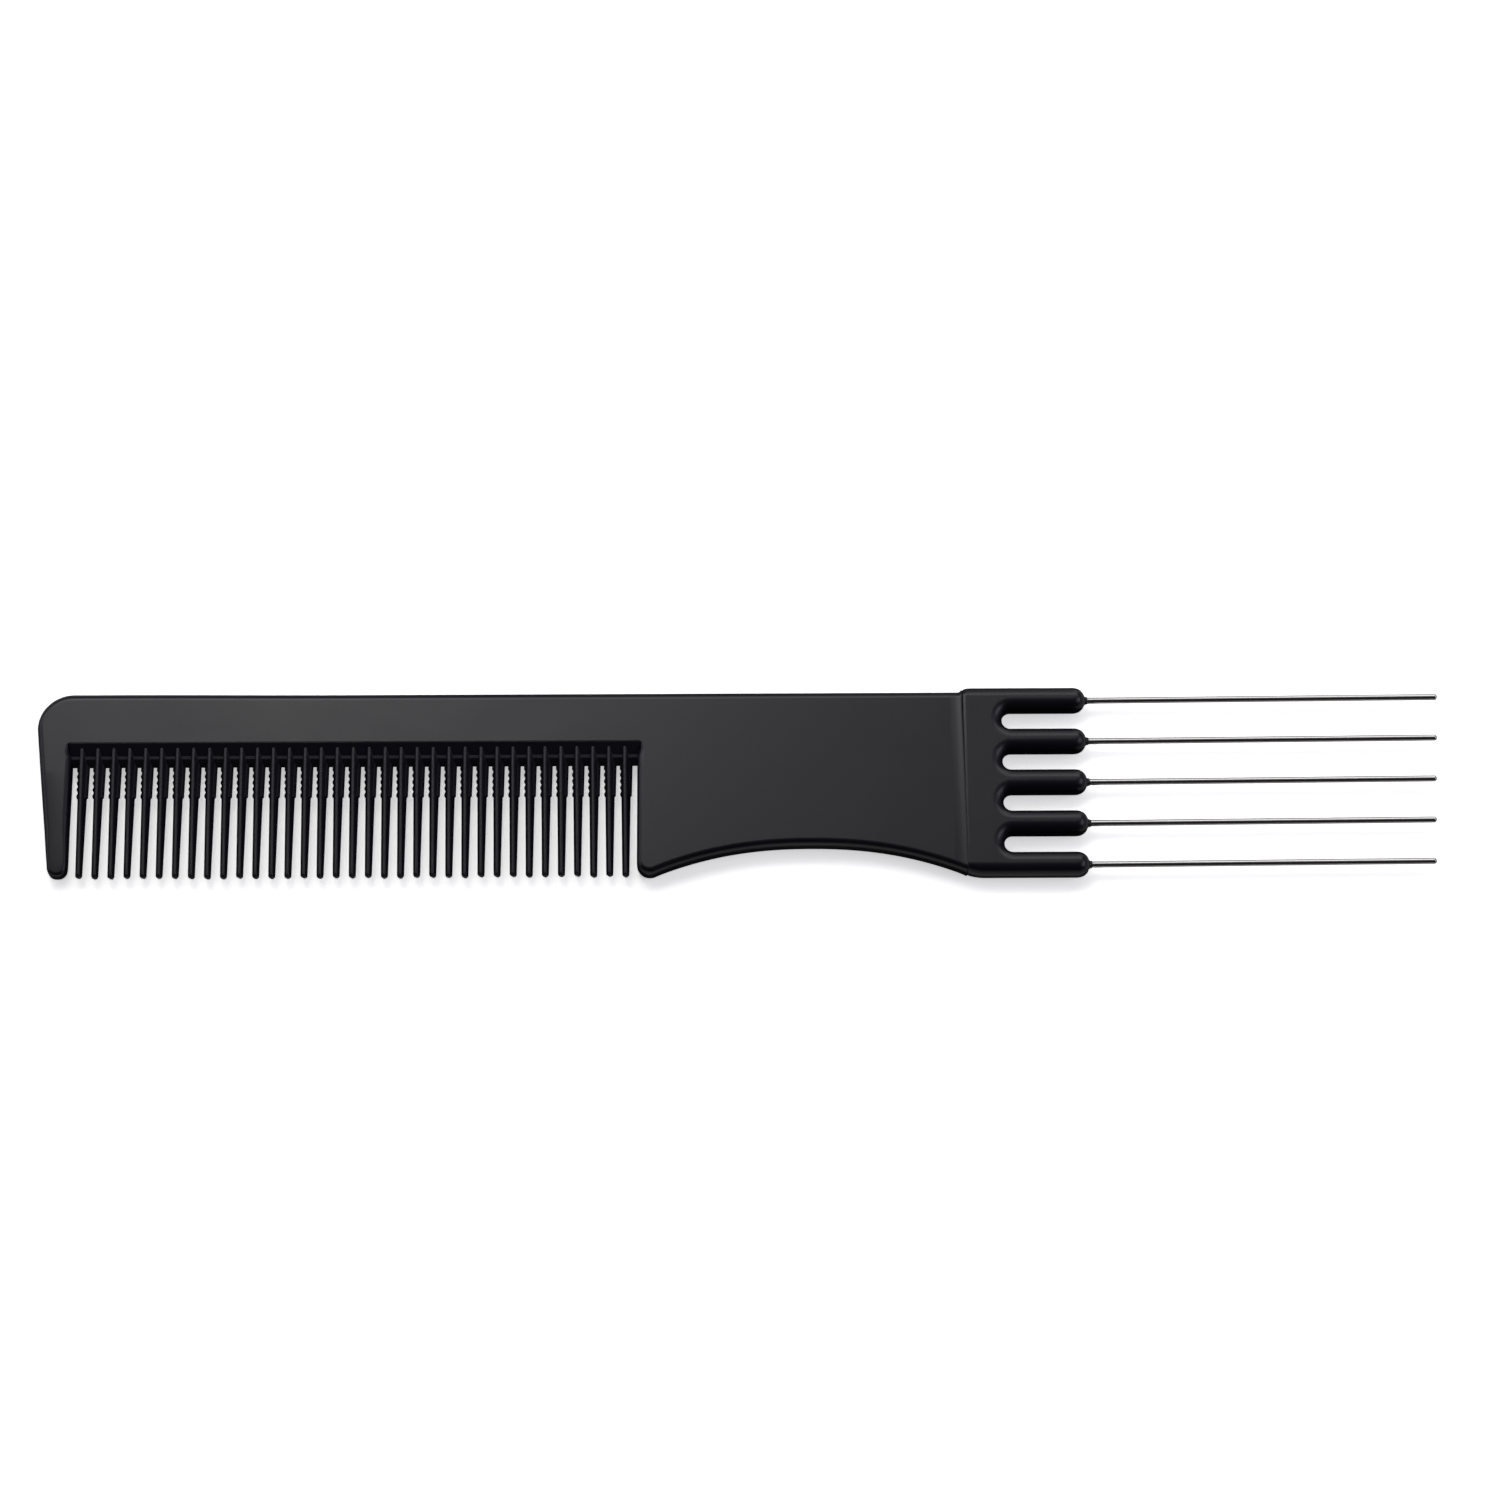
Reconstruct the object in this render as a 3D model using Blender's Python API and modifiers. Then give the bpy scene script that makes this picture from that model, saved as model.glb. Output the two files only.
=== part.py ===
"""Teasing comb with a five-prong lifting fork, lying face up.

The comb is one black moulding: a spine, a guard tooth, a row of fine teeth with nicked root fins, and a
flat grip with a hollow for the index finger. Behind a seam, a second moulding carries five round fingers,
and each finger holds a straight steel prong. The fork head keys into the grip with a flat tongue, whose
two lock holes are filled by posts of the grip's own plastic.

Working frame: x = 0 on the seam and positive towards the prong tips, y = 0 on the middle finger and
positive towards the spine, z = 0 on the moulding's parting plane. An empty then carries the whole comb so
that it lies on z = 0, centred in x and y.
"""

import math

import bmesh
import bpy
from mathutils import Matrix, Vector

# Tooth row
TOOTH_COUNT = 35
TOOTH_PITCH = 0.002223
END_TOOTH_OFFSET = 0.00158
TOOTH_LENGTH = 0.01598
TOOTH_ROOT_WIDTH = 0.00142
TOOTH_TIP_WIDTH = 0.00087
TOOTH_ROOT_THICKNESS = 0.0025
TOOTH_TIP_THICKNESS = 0.0014
TOOTH_TIP_ROUNDING = 0.0004
TIP_SHRINK_SHARE = 0.55
RIDGE_WIDTH = 0.00054
RIDGE_OFFSET = 0.00018

# Guard tooth
GUARD_TOP_WIDTH = 0.00542
GUARD_TIP_WIDTH = 0.00257
GUARD_TIP_RADIUS = 0.00125
GUARD_TIP_THICKNESS = 0.0024
GUARD_TAPER_LENGTH = 0.015

# Root fins, nicked on the side that faces the guard tooth
FIN_THICKNESS = 0.00056
FIN_ROOT_WIDTH = 0.00162
FIN_END_WIDTH = 0.00152
FIN_LENGTH = 0.0044
FIN_RUN_OUT = 0.00045
NICK_COUNT = 4
NICK_PITCH = 0.001
NICK_DEPTH = 0.00017
FIRST_NICK = 0.0006

# Spine and the step down to the tooth roots
BODY_THICKNESS = 0.0034
SPINE_HEIGHT = 0.00725
EDGE_RADIUS = 0.001
CORNER_RADIUS = 0.004
STEP_RUN = 0.00153
LEDGE_WIDTH = 0.00059
WEB_THICKNESS = 0.002
ROOT_RUN = 0.001
ROOT_EDGE_THICKNESS = 0.0004

# Grip
GRIP_LENGTH = 0.0455
HEEL_RADIUS = 0.0018
HOLLOW_CENTRE_FROM_SEAM = 0.0217
HOLLOW_HALF_LENGTH = 0.021
HOLLOW_DEPTH = 0.00376
HOLLOW_TO_TOP = 0.0222
HOLLOW_POWER = 2.24
FLARE_LENGTH = 0.00125

# Fork head
FINGER_COUNT = 5
FINGER_PITCH = 0.00601
FINGER_WIDTH = 0.00346
FINGER_LENGTH = 0.01146
NOSE_LENGTH = 0.0018
HEAD_THICKNESS = 0.0038
HEAD_BLOCK_LENGTH = 0.0054
HEAD_PROUD = 0.0008
HEAD_TOP_RUN_UP = 0.0006
HEAD_HEEL_RUN_UP = 0.002
HEAD_EDGE_RADIUS = 0.0016
SLOT_CORNER_RADIUS = 0.001

# Tongue of the fork head and its lock posts
TONGUE_LENGTH = 0.011
TONGUE_WIDTH = 0.016
TONGUE_THICKNESS = 0.0012
LOCK_HOLE_DIAMETER = 0.0032
LOCK_HOLE_SPACING = 0.008
LOCK_HOLE_FROM_SEAM = 0.0055

# Prongs: each is a little longer than the one before it, counted from the hollow's side
PRONG_DIAMETER = 0.00086
PRONG_EXPOSED_LENGTH = 0.049
PRONG_LENGTH_STEP = 0.00033
PRONG_EMBEDDED_LENGTH = 0.0145
PRONG_LEAN = math.radians(0.39)
PRONG_TIP_ROUNDING = 0.0003
GROOVE_DIAMETER = 0.0006
GROOVE_WIDTH = 0.0005
GROOVE_COUNT = 2

# Gap kept between pieces that touch, overrun of cutters and buried ends, and what counts as one point
CLEARANCE = 0.0003
OVERRUN = 0.0006
WELD_DISTANCE = 0.000001

# Facets
CORNER_STEPS = 6
EDGE_STEPS = 1
HEAD_EDGE_STEPS = 2
SLOT_STEPS = 3
HOLLOW_STEPS = 14
NOSE_STEPS = 7
POST_STEPS = 20
PRONG_STEPS = 12
DOME_STEPS = 3

# Places that follow from the sizes above
HEAD_HALF_WIDTH = (FINGER_COUNT - 1) * FINGER_PITCH / 2 + FINGER_WIDTH / 2
BODY_TOP = HEAD_HALF_WIDTH - HEAD_PROUD
SPINE_FOOT = BODY_TOP - SPINE_HEIGHT
LEDGE_TOP = SPINE_FOOT - STEP_RUN
LEDGE_FOOT = LEDGE_TOP - LEDGE_WIDTH
ROOT_LINE = LEDGE_FOOT - ROOT_RUN
TIP_LINE = ROOT_LINE - TOOTH_LENGTH
GRIP_WALL = -GRIP_LENGTH
GUARD_WALL = GRIP_WALL - (TOOTH_COUNT - 1) * TOOTH_PITCH - 2 * END_TOOTH_OFFSET
SLOT_ROOT = HEAD_BLOCK_LENGTH
NOSE_TIP = SLOT_ROOT + FINGER_LENGTH
FINGER_LINES = [(i - (FINGER_COUNT - 1) / 2) * FINGER_PITCH for i in range(FINGER_COUNT)]
PRONG_LENGTHS = [
    PRONG_EXPOSED_LENGTH + (i - (FINGER_COUNT - 1) / 2) * PRONG_LENGTH_STEP for i in range(FINGER_COUNT)
]
LOCK_LINES = [-LOCK_HOLE_SPACING / 2, LOCK_HOLE_SPACING / 2]
BODY_PAST_SEAM = EDGE_RADIUS + OVERRUN
HEAD_PAST_SEAM = HEAD_EDGE_RADIUS + OVERRUN


def clear_scene():
    """Removes what the file opened with."""
    for obj in list(bpy.data.objects):
        bpy.data.objects.remove(obj)


def make_collection(name):
    """A new collection in the scene."""
    collection = bpy.data.collections.new(name)
    bpy.context.scene.collection.children.link(collection)
    return collection


def make_material(name, colour, roughness, metallic):
    """A Principled material with one colour, roughness and metallic value."""
    material = bpy.data.materials.new(name)
    material.use_nodes = True
    shader = material.node_tree.nodes["Principled BSDF"]
    shader.inputs["Base Color"].default_value = (*colour, 1.0)
    shader.inputs["Roughness"].default_value = roughness
    shader.inputs["Metallic"].default_value = metallic
    return material


def mesh_from_bmesh(name, bm):
    """Turns a bmesh into a mesh with its faces pointing out."""
    bmesh.ops.recalc_face_normals(bm, faces=bm.faces)
    mesh = bpy.data.meshes.new(name)
    bm.to_mesh(mesh)
    bm.free()
    return mesh


def add_object(name, data, collection):
    """Puts an object with this data in a collection."""
    obj = bpy.data.objects.new(name, data)
    collection.objects.link(obj)
    return obj


def as_mesh(obj):
    """Replaces an object by its evaluated mesh, with the loose caps of a curve welded on."""
    bpy.context.view_layer.update()
    evaluated = obj.evaluated_get(bpy.context.evaluated_depsgraph_get())
    bm = bmesh.new()
    bm.from_mesh(bpy.data.meshes.new_from_object(evaluated))
    bmesh.ops.remove_doubles(bm, verts=bm.verts, dist=WELD_DISTANCE)
    name, collection, matrix = obj.name, obj.users_collection[0], obj.matrix_world.copy()
    bpy.data.objects.remove(obj)
    made = add_object(name, mesh_from_bmesh(name, bm), collection)
    made.matrix_world = matrix
    return made


def flat_plate(name, points, thickness, collection, rim_radius=0, rim_steps=0):
    """A plate of an outline in x and y, half on each side of the parting plane, with its rims rounded.

    The curve's bevel stands outside its outline, so the outline is drawn in by the same radius.
    """
    curve = bpy.data.curves.new(name, "CURVE")
    curve.dimensions = "2D"
    curve.fill_mode = "BOTH"
    curve.extrude = thickness / 2 - rim_radius
    curve.bevel_depth = rim_radius
    curve.bevel_resolution = rim_steps
    curve.offset = -rim_radius
    spline = curve.splines.new("POLY")
    spline.points.add(len(points) - 1)
    for slot, (x, y) in zip(spline.points, points):
        slot.co = (x, y, 0.0, 1.0)
    spline.use_cyclic_u = True
    return as_mesh(add_object(name, curve, collection))


def edit_across_plane(obj, place, outward, cut_off=False):
    """Opens an object's mesh for editing, with an edge loop, or a cut, where a plane crosses it."""
    bm = bmesh.new()
    bm.from_mesh(obj.data)
    everything = bm.verts[:] + bm.edges[:] + bm.faces[:]
    split = bmesh.ops.bisect_plane(bm, geom=everything, plane_co=place, plane_no=outward, clear_outer=cut_off)
    if cut_off:
        rim = [item for item in split["geom_cut"] if isinstance(item, bmesh.types.BMEdge)]
        bmesh.ops.edgeloop_fill(bm, edges=rim)
        bmesh.ops.recalc_face_normals(bm, faces=bm.faces)
    return bm


def store(bm, obj):
    """Puts an edited mesh back in its object, in triangles where its faces no longer lie flat."""
    bmesh.ops.triangulate(bm, faces=bm.faces)
    bm.to_mesh(obj.data)
    bm.free()


def combine(obj, operation, other):
    """Joins an object with, or cuts it by, another object or all objects of a collection."""
    boolean = obj.modifiers.new(operation.lower(), "BOOLEAN")
    boolean.operation = operation
    boolean.solver = "EXACT"
    if isinstance(other, bpy.types.Collection):
        boolean.operand_type = "COLLECTION"
        boolean.collection = other
    else:
        boolean.object = other


def hide_helper(obj):
    """Keeps a cutter or a joined-in shape out of renders."""
    obj.hide_render = True
    obj.display_type = "WIRE"


def arc_points(centre, radius, start, sweep, steps):
    """Points along a circular arc, both ends included."""
    angles = [start + sweep * i / steps for i in range(steps + 1)]
    return [(centre.x + radius * math.cos(a), centre.y + radius * math.sin(a)) for a in angles]


def rounded(corners, steps):
    """The outline through corners of (x, y, radius), each corner with a radius replaced by its arc."""
    points = []
    for i, (x, y, radius) in enumerate(corners):
        if radius == 0:
            points.append((x, y))
            continue
        here = Vector((x, y))
        before = (Vector(corners[i - 1][:2]) - here).normalized()
        after = (Vector(corners[(i + 1) % len(corners)][:2]) - here).normalized()
        half_angle = before.angle(after) / 2
        centre = here + (before + after).normalized() * radius / math.sin(half_angle)
        first = here + before * radius / math.tan(half_angle) - centre
        last = here + after * radius / math.tan(half_angle) - centre
        start = math.atan2(first.y, first.x)
        sweep = math.remainder(math.atan2(last.y, last.x) - start, 2 * math.pi)
        points += arc_points(centre, radius, start, sweep, steps)
    return points


def hollow_line(x):
    """Height of the grip's lower edge, which rises towards the middle of the finger hollow."""
    share = abs(x + HOLLOW_CENTRE_FROM_SEAM) / HOLLOW_HALF_LENGTH
    return BODY_TOP - HOLLOW_TO_TOP - HOLLOW_DEPTH * share**HOLLOW_POWER


def body_outline():
    """Outline of the thick part of the comb: spine, guard tooth and grip, without the tooth roots."""
    first = GRIP_WALL + 2 * HEEL_RADIUS
    corners = [
        (BODY_PAST_SEAM, BODY_TOP, 0),
        (GUARD_WALL - GUARD_TOP_WIDTH, BODY_TOP, CORNER_RADIUS),
        (GUARD_WALL - GUARD_TIP_WIDTH, TIP_LINE, GUARD_TIP_RADIUS),
        (GUARD_WALL, TIP_LINE, GUARD_TIP_RADIUS),
        (GUARD_WALL, SPINE_FOOT, 0),
        (GRIP_WALL, SPINE_FOOT, 0),
        (GRIP_WALL, hollow_line(GRIP_WALL), HEEL_RADIUS),
    ]
    for i in range(HOLLOW_STEPS + 1):
        x = first + (BODY_PAST_SEAM - first) * i / HOLLOW_STEPS
        corners.append((x, hollow_line(x), 0))
    return rounded(corners, CORNER_STEPS)


def flare_seam(plate):
    """Thickens the grip over its last stretch, up to the fork head's thickness on the seam."""
    bm = edit_across_plane(plate, (-FLARE_LENGTH, 0, 0), (1, 0, 0))
    gain_share = HEAD_THICKNESS / BODY_THICKNESS - 1
    for vert in bm.verts:
        if vert.co.x > -FLARE_LENGTH:
            vert.co.z *= 1 + gain_share * (vert.co.x + FLARE_LENGTH) / FLARE_LENGTH
    store(bm, plate)


def taper_guard(plate):
    """Thins the guard tooth over its last stretch, down to its tip, on both faces alike."""
    start = TIP_LINE + GUARD_TAPER_LENGTH
    bm = edit_across_plane(plate, (0, start, 0), (0, 1, 0))
    loss_share = 1 - GUARD_TIP_THICKNESS / BODY_THICKNESS
    for vert in bm.verts:
        if vert.co.x < (GUARD_WALL + GRIP_WALL) / 2 and vert.co.y < start:
            vert.co.z *= 1 - loss_share * (start - vert.co.y) / GUARD_TAPER_LENGTH
    store(bm, plate)


def make_plate(collection):
    """The thick plate of the comb, rounded all round, cut flat on the seam and tapered at the guard."""
    plate = flat_plate("comb_body", body_outline(), BODY_THICKNESS, collection, EDGE_RADIUS, EDGE_STEPS)
    store(edit_across_plane(plate, (-CLEARANCE / 2, 0, 0), (1, 0, 0), cut_off=True), plate)
    flare_seam(plate)
    taper_guard(plate)
    return plate


def make_root_bar(collection):
    """The bar that steps down from the spine to the tooth roots, buried in the guard and the grip."""
    half = [
        (SPINE_FOOT + EDGE_RADIUS + OVERRUN, BODY_THICKNESS / 2),
        (SPINE_FOOT, BODY_THICKNESS / 2),
        (LEDGE_TOP, WEB_THICKNESS / 2),
        (LEDGE_FOOT, WEB_THICKNESS / 2),
        (ROOT_LINE, ROOT_EDGE_THICKNESS / 2),
    ]
    section = half + [(y, -z) for y, z in reversed(half)]
    start = GUARD_WALL - EDGE_RADIUS - OVERRUN
    end = GRIP_WALL + EDGE_RADIUS + OVERRUN
    bm = bmesh.new()
    face = bm.faces.new([bm.verts.new((start, y, z)) for y, z in section])
    swept = bmesh.ops.extrude_face_region(bm, geom=[face])
    moved = [item for item in swept["geom"] if isinstance(item, bmesh.types.BMVert)]
    bmesh.ops.translate(bm, verts=moved, vec=(end - start, 0, 0))
    add_object("root_bar", mesh_from_bmesh("root_bar", bm), collection)


def tooth_section(y, shrink_share):
    """Six corners of a tooth's section: one on each flank at the parting plane, two on each ridge."""
    along = (ROOT_LINE - y) / TOOTH_LENGTH
    half_width = shrink_share * (TOOTH_ROOT_WIDTH + (TOOTH_TIP_WIDTH - TOOTH_ROOT_WIDTH) * along) / 2
    height = shrink_share * (TOOTH_ROOT_THICKNESS + (TOOTH_TIP_THICKNESS - TOOTH_ROOT_THICKNESS) * along) / 2
    offset = RIDGE_OFFSET * max(0, 1 - along)
    guard_side = -offset - shrink_share * RIDGE_WIDTH / 2
    grip_side = -offset + shrink_share * RIDGE_WIDTH / 2
    return [
        (-half_width, y, 0),
        (guard_side, y, height),
        (grip_side, y, height),
        (half_width, y, 0),
        (grip_side, y, -height),
        (guard_side, y, -height),
    ]


def make_tooth_mesh():
    """One tooth, lofted from inside the spine to its blunt tip, with x = 0 on its centre line."""
    sections = [
        tooth_section(SPINE_FOOT + OVERRUN, 1),
        tooth_section(TIP_LINE + TOOTH_TIP_ROUNDING, 1),
        tooth_section(TIP_LINE, TIP_SHRINK_SHARE),
    ]
    bm = bmesh.new()
    rings = [[bm.verts.new(point) for point in section] for section in sections]
    bm.faces.new(rings[0])
    bm.faces.new(rings[-1])
    for upper, lower in zip(rings, rings[1:]):
        for i in range(len(upper)):
            j = (i + 1) % len(upper)
            bm.faces.new((upper[i], upper[j], lower[j], lower[i]))
    return mesh_from_bmesh("tooth", bm)


def fin_outline():
    """Outline of one root fin: plain on the grip side, nicked on the guard side."""
    half_root, half_end, half_core = FIN_ROOT_WIDTH / 2, FIN_END_WIDTH / 2, RIDGE_WIDTH / 2
    end = ROOT_LINE - FIN_LENGTH
    points = [
        (half_core, end - FIN_RUN_OUT),
        (half_end, end),
        (half_root, LEDGE_FOOT),
        (-half_root, LEDGE_FOOT),
    ]
    for i in range(NICK_COUNT):
        for drop, depth in ((FIRST_NICK, NICK_DEPTH), (FIRST_NICK + NICK_PITCH / 2, 0)):
            drop += i * NICK_PITCH
            edge = half_root + (half_end - half_root) * drop / FIN_LENGTH
            points.append((depth - edge, ROOT_LINE - drop))
    return points + [(-half_core, end - FIN_RUN_OUT)]


def make_teeth(collection):
    """All the teeth and their fins, spaced along the row from the grip to the guard tooth."""
    tooth_mesh = make_tooth_mesh()
    fin_mesh = None
    for i in range(TOOTH_COUNT):
        place = GRIP_WALL - END_TOOTH_OFFSET - i * TOOTH_PITCH
        add_object(f"tooth_{i + 1}", tooth_mesh, collection).location.x = place
        if fin_mesh is None:
            fin = flat_plate("fin_1", fin_outline(), FIN_THICKNESS, collection)
            fin_mesh = fin.data
        else:
            fin = add_object(f"fin_{i + 1}", fin_mesh, collection)
        fin.location.x = place


def make_box(name, low, high, collection):
    """A box between two corners."""
    low, high = Vector(low), Vector(high)
    bm = bmesh.new()
    bmesh.ops.create_cube(bm, size=1.0)
    bmesh.ops.scale(bm, vec=high - low, verts=bm.verts)
    bmesh.ops.translate(bm, vec=(high + low) / 2, verts=bm.verts)
    return add_object(name, mesh_from_bmesh(name, bm), collection)


def make_lock_post(name, y, diameter, height, collection):
    """An upright round post, centred on the parting plane, on the line of the lock holes."""
    bm = bmesh.new()
    bmesh.ops.create_cone(
        bm,
        cap_ends=True,
        segments=POST_STEPS,
        radius1=diameter / 2,
        radius2=diameter / 2,
        depth=height,
        matrix=Matrix.Translation((-LOCK_HOLE_FROM_SEAM, y, 0)),
    )
    return add_object(name, mesh_from_bmesh(name, bm), collection)


def make_comb_body(parts, helpers, features):
    """The comb moulding: plate, root bar and teeth in one, with the tongue's socket and its lock posts."""
    body = make_plate(parts)
    make_root_bar(features)
    make_teeth(features)
    combine(body, "UNION", features)
    half_width = TONGUE_WIDTH / 2 + CLEARANCE
    half_height = TONGUE_THICKNESS / 2 + CLEARANCE
    low = (-TONGUE_LENGTH - CLEARANCE, -half_width, -half_height)
    socket = make_box("tongue_socket", low, (OVERRUN, half_width, half_height), helpers)
    for i, y in enumerate(LOCK_LINES):
        diameter = LOCK_HOLE_DIAMETER - 2 * CLEARANCE
        post = make_lock_post(f"lock_post_{i + 1}", y, diameter, BODY_THICKNESS, helpers)
        combine(socket, "DIFFERENCE", post)
    combine(body, "DIFFERENCE", socket)
    return body


def head_outline():
    """Outline of the fork head: a block that rises from the seam, then fingers with round noses."""
    half = FINGER_WIDTH / 2
    corners = [
        (-HEAD_PAST_SEAM, hollow_line(0), 0),
        (0, hollow_line(0), 0),
        (HEAD_HEEL_RUN_UP, -HEAD_HALF_WIDTH, 0),
    ]
    for i, line in enumerate(FINGER_LINES):
        for j in range(NOSE_STEPS + 1):
            turn = math.pi * (j / NOSE_STEPS - 1 / 2)
            x = NOSE_TIP - NOSE_LENGTH * (1 - math.cos(turn))
            corners.append((x, line + half * math.sin(turn), 0))
        if i < FINGER_COUNT - 1:
            corners.append((SLOT_ROOT, line + half, SLOT_CORNER_RADIUS))
            corners.append((SLOT_ROOT, line + FINGER_PITCH - half, SLOT_CORNER_RADIUS))
    corners += [
        (HEAD_TOP_RUN_UP, HEAD_HALF_WIDTH, 0),
        (0, BODY_TOP, 0),
        (-HEAD_PAST_SEAM, BODY_TOP, 0),
    ]
    return rounded(corners, SLOT_STEPS)


def turned(name, profile, collection):
    """A turned piece about its own z, from a profile of (radius, height) that runs from top to bottom."""
    mesh = bpy.data.meshes.new(name)
    points = [(radius, 0, height) for radius, height in profile]
    mesh.from_pydata(points, [(i, i + 1) for i in range(len(points) - 1)], [])
    obj = add_object(name, mesh, collection)
    screw = obj.modifiers.new("turning", "SCREW")
    screw.steps = PRONG_STEPS
    screw.render_steps = PRONG_STEPS
    screw.use_merge_vertices = True
    screw.merge_threshold = WELD_DISTANCE
    return obj


def lay_along_prong(obj, line):
    """Lays a turned piece along a prong's axis, with its origin where the prong leaves the nose."""
    obj.location = (NOSE_TIP, line, 0)
    obj.rotation_euler = (0, math.pi / 2, PRONG_LEAN)


def make_tongue(helpers):
    """The flat tongue of the fork head, with its two lock holes."""
    half_width, half_height = TONGUE_WIDTH / 2, TONGUE_THICKNESS / 2
    high = (OVERRUN + CLEARANCE, half_width, half_height)
    tongue = make_box("tongue", (-TONGUE_LENGTH, -half_width, -half_height), high, helpers)
    for i, y in enumerate(LOCK_LINES):
        hole = make_lock_post(f"lock_hole_{i + 1}", y, LOCK_HOLE_DIAMETER, BODY_THICKNESS, helpers)
        combine(tongue, "DIFFERENCE", hole)
    return tongue


def make_fork_head(parts, helpers):
    """The fork head moulding: rounded block and fingers, its tongue, and a blind bore in each finger."""
    head = flat_plate("fork_head", head_outline(), HEAD_THICKNESS, parts, HEAD_EDGE_RADIUS, HEAD_EDGE_STEPS)
    store(edit_across_plane(head, (CLEARANCE / 2, 0, 0), (-1, 0, 0), cut_off=True), head)
    combine(head, "UNION", make_tongue(helpers))
    radius = PRONG_DIAMETER / 2 + CLEARANCE
    depth = PRONG_EMBEDDED_LENGTH + CLEARANCE
    for i, line in enumerate(FINGER_LINES):
        profile = [(0, OVERRUN), (radius, OVERRUN), (radius, -depth), (0, -depth)]
        bore = turned(f"prong_bore_{i + 1}", profile, helpers)
        lay_along_prong(bore, line)
        combine(head, "DIFFERENCE", bore)
    return head


def prong_profile(exposed):
    """Radius and height along a prong: domed tip, plain wire, then anchor grooves in the buried tail."""
    radius, groove = PRONG_DIAMETER / 2, GROOVE_DIAMETER / 2
    points = []
    for i in range(DOME_STEPS + 1):
        turn = math.pi / 2 * i / DOME_STEPS
        points.append((radius * math.sin(turn), exposed - PRONG_TIP_ROUNDING * (1 - math.cos(turn))))
    for i in range(GROOVE_COUNT):
        top = 2 * GROOVE_WIDTH * (GROOVE_COUNT - i) - PRONG_EMBEDDED_LENGTH
        foot = top - GROOVE_WIDTH
        points += [(radius, top), (groove, top), (groove, foot), (radius, foot)]
    return points + [(radius, -PRONG_EMBEDDED_LENGTH), (0, -PRONG_EMBEDDED_LENGTH)]


def make_prongs(parts):
    """The steel prongs, numbered from the hollow's side of the grip towards the spine's side."""
    prongs = []
    for i, line in enumerate(FINGER_LINES):
        prong = turned(f"prong_{i + 1}", prong_profile(PRONG_LENGTHS[i]), parts)
        lay_along_prong(prong, line)
        prong.data.shade_smooth()
        prongs.append(prong)
    return prongs


def main():
    """Builds the comb and sets it down on z = 0."""
    clear_scene()
    parts = make_collection("teasing comb")
    helpers = make_collection("cutters")
    features = make_collection("comb features")
    body = make_comb_body(parts, helpers, features)
    head = make_fork_head(parts, helpers)
    prongs = make_prongs(parts)
    body.data.materials.append(make_material("comb_plastic", (0.020, 0.020, 0.021), 0.42, 0.0))
    head.data.materials.append(make_material("head_plastic", (0.018, 0.018, 0.019), 0.38, 0.0))
    steel = make_material("prong_steel", (0.62, 0.61, 0.60), 0.28, 1.0)
    for prong in prongs:
        prong.data.materials.append(steel)
    guard_end = min(x for x, _ in body_outline())
    prong_end = NOSE_TIP + max(PRONG_LENGTHS) * math.cos(PRONG_LEAN)
    carrier = add_object("comb_frame", None, parts)
    carrier.location = (-(guard_end + prong_end) / 2, 0, HEAD_THICKNESS / 2)
    for collection in (parts, helpers, features):
        for obj in collection.objects:
            if obj is not carrier:
                obj.parent = carrier
            if collection is not parts:
                hide_helper(obj)


main()
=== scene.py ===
"""Dressed model of a teasing comb with a five-prong lifting fork, lying face up on a pale table.

Shapes are worked out in millimetres in the comb's working frame: x = 0 on the seam between the comb and its
fork head and positive towards the prong tips, y = 0 on the middle finger and positive towards the spine,
z = 0 on the parting plane of the mouldings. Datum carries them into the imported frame, in metres.
"""

from __future__ import annotations

import logging
import math
from dataclasses import dataclass, field
from enum import Enum

import bmesh
import bpy
import numpy as np
from mathutils import Matrix, Vector


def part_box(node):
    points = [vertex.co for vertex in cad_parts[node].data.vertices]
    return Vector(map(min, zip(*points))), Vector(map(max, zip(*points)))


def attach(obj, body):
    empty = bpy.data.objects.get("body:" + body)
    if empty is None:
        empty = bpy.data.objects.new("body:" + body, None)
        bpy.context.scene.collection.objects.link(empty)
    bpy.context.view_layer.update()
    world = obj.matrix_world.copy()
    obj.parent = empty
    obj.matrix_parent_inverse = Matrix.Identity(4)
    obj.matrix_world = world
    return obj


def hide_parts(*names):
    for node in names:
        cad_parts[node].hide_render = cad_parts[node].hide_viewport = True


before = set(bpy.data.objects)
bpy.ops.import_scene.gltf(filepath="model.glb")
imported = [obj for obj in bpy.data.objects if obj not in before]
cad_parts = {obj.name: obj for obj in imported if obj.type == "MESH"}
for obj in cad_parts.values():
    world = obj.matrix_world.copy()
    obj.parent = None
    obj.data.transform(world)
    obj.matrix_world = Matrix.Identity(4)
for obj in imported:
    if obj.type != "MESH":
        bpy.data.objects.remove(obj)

Array = np.ndarray
Numbers = np.ndarray | float
Triple = tuple[float, float, float]
Piece = bpy.types.Object
Material = bpy.types.Material
Tree = bpy.types.NodeTree
Socket = bpy.types.NodeSocket
Sockets = bpy.types.bpy_prop_collection
MM = 0.001
BODY = "root"
LOG = logging.getLogger("teasing_comb")


class Slot(Enum):
    """The record's material slots."""

    COMB = "comb_plastic"
    HEAD = "head_plastic"
    STEEL = "prong_steel"


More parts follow.
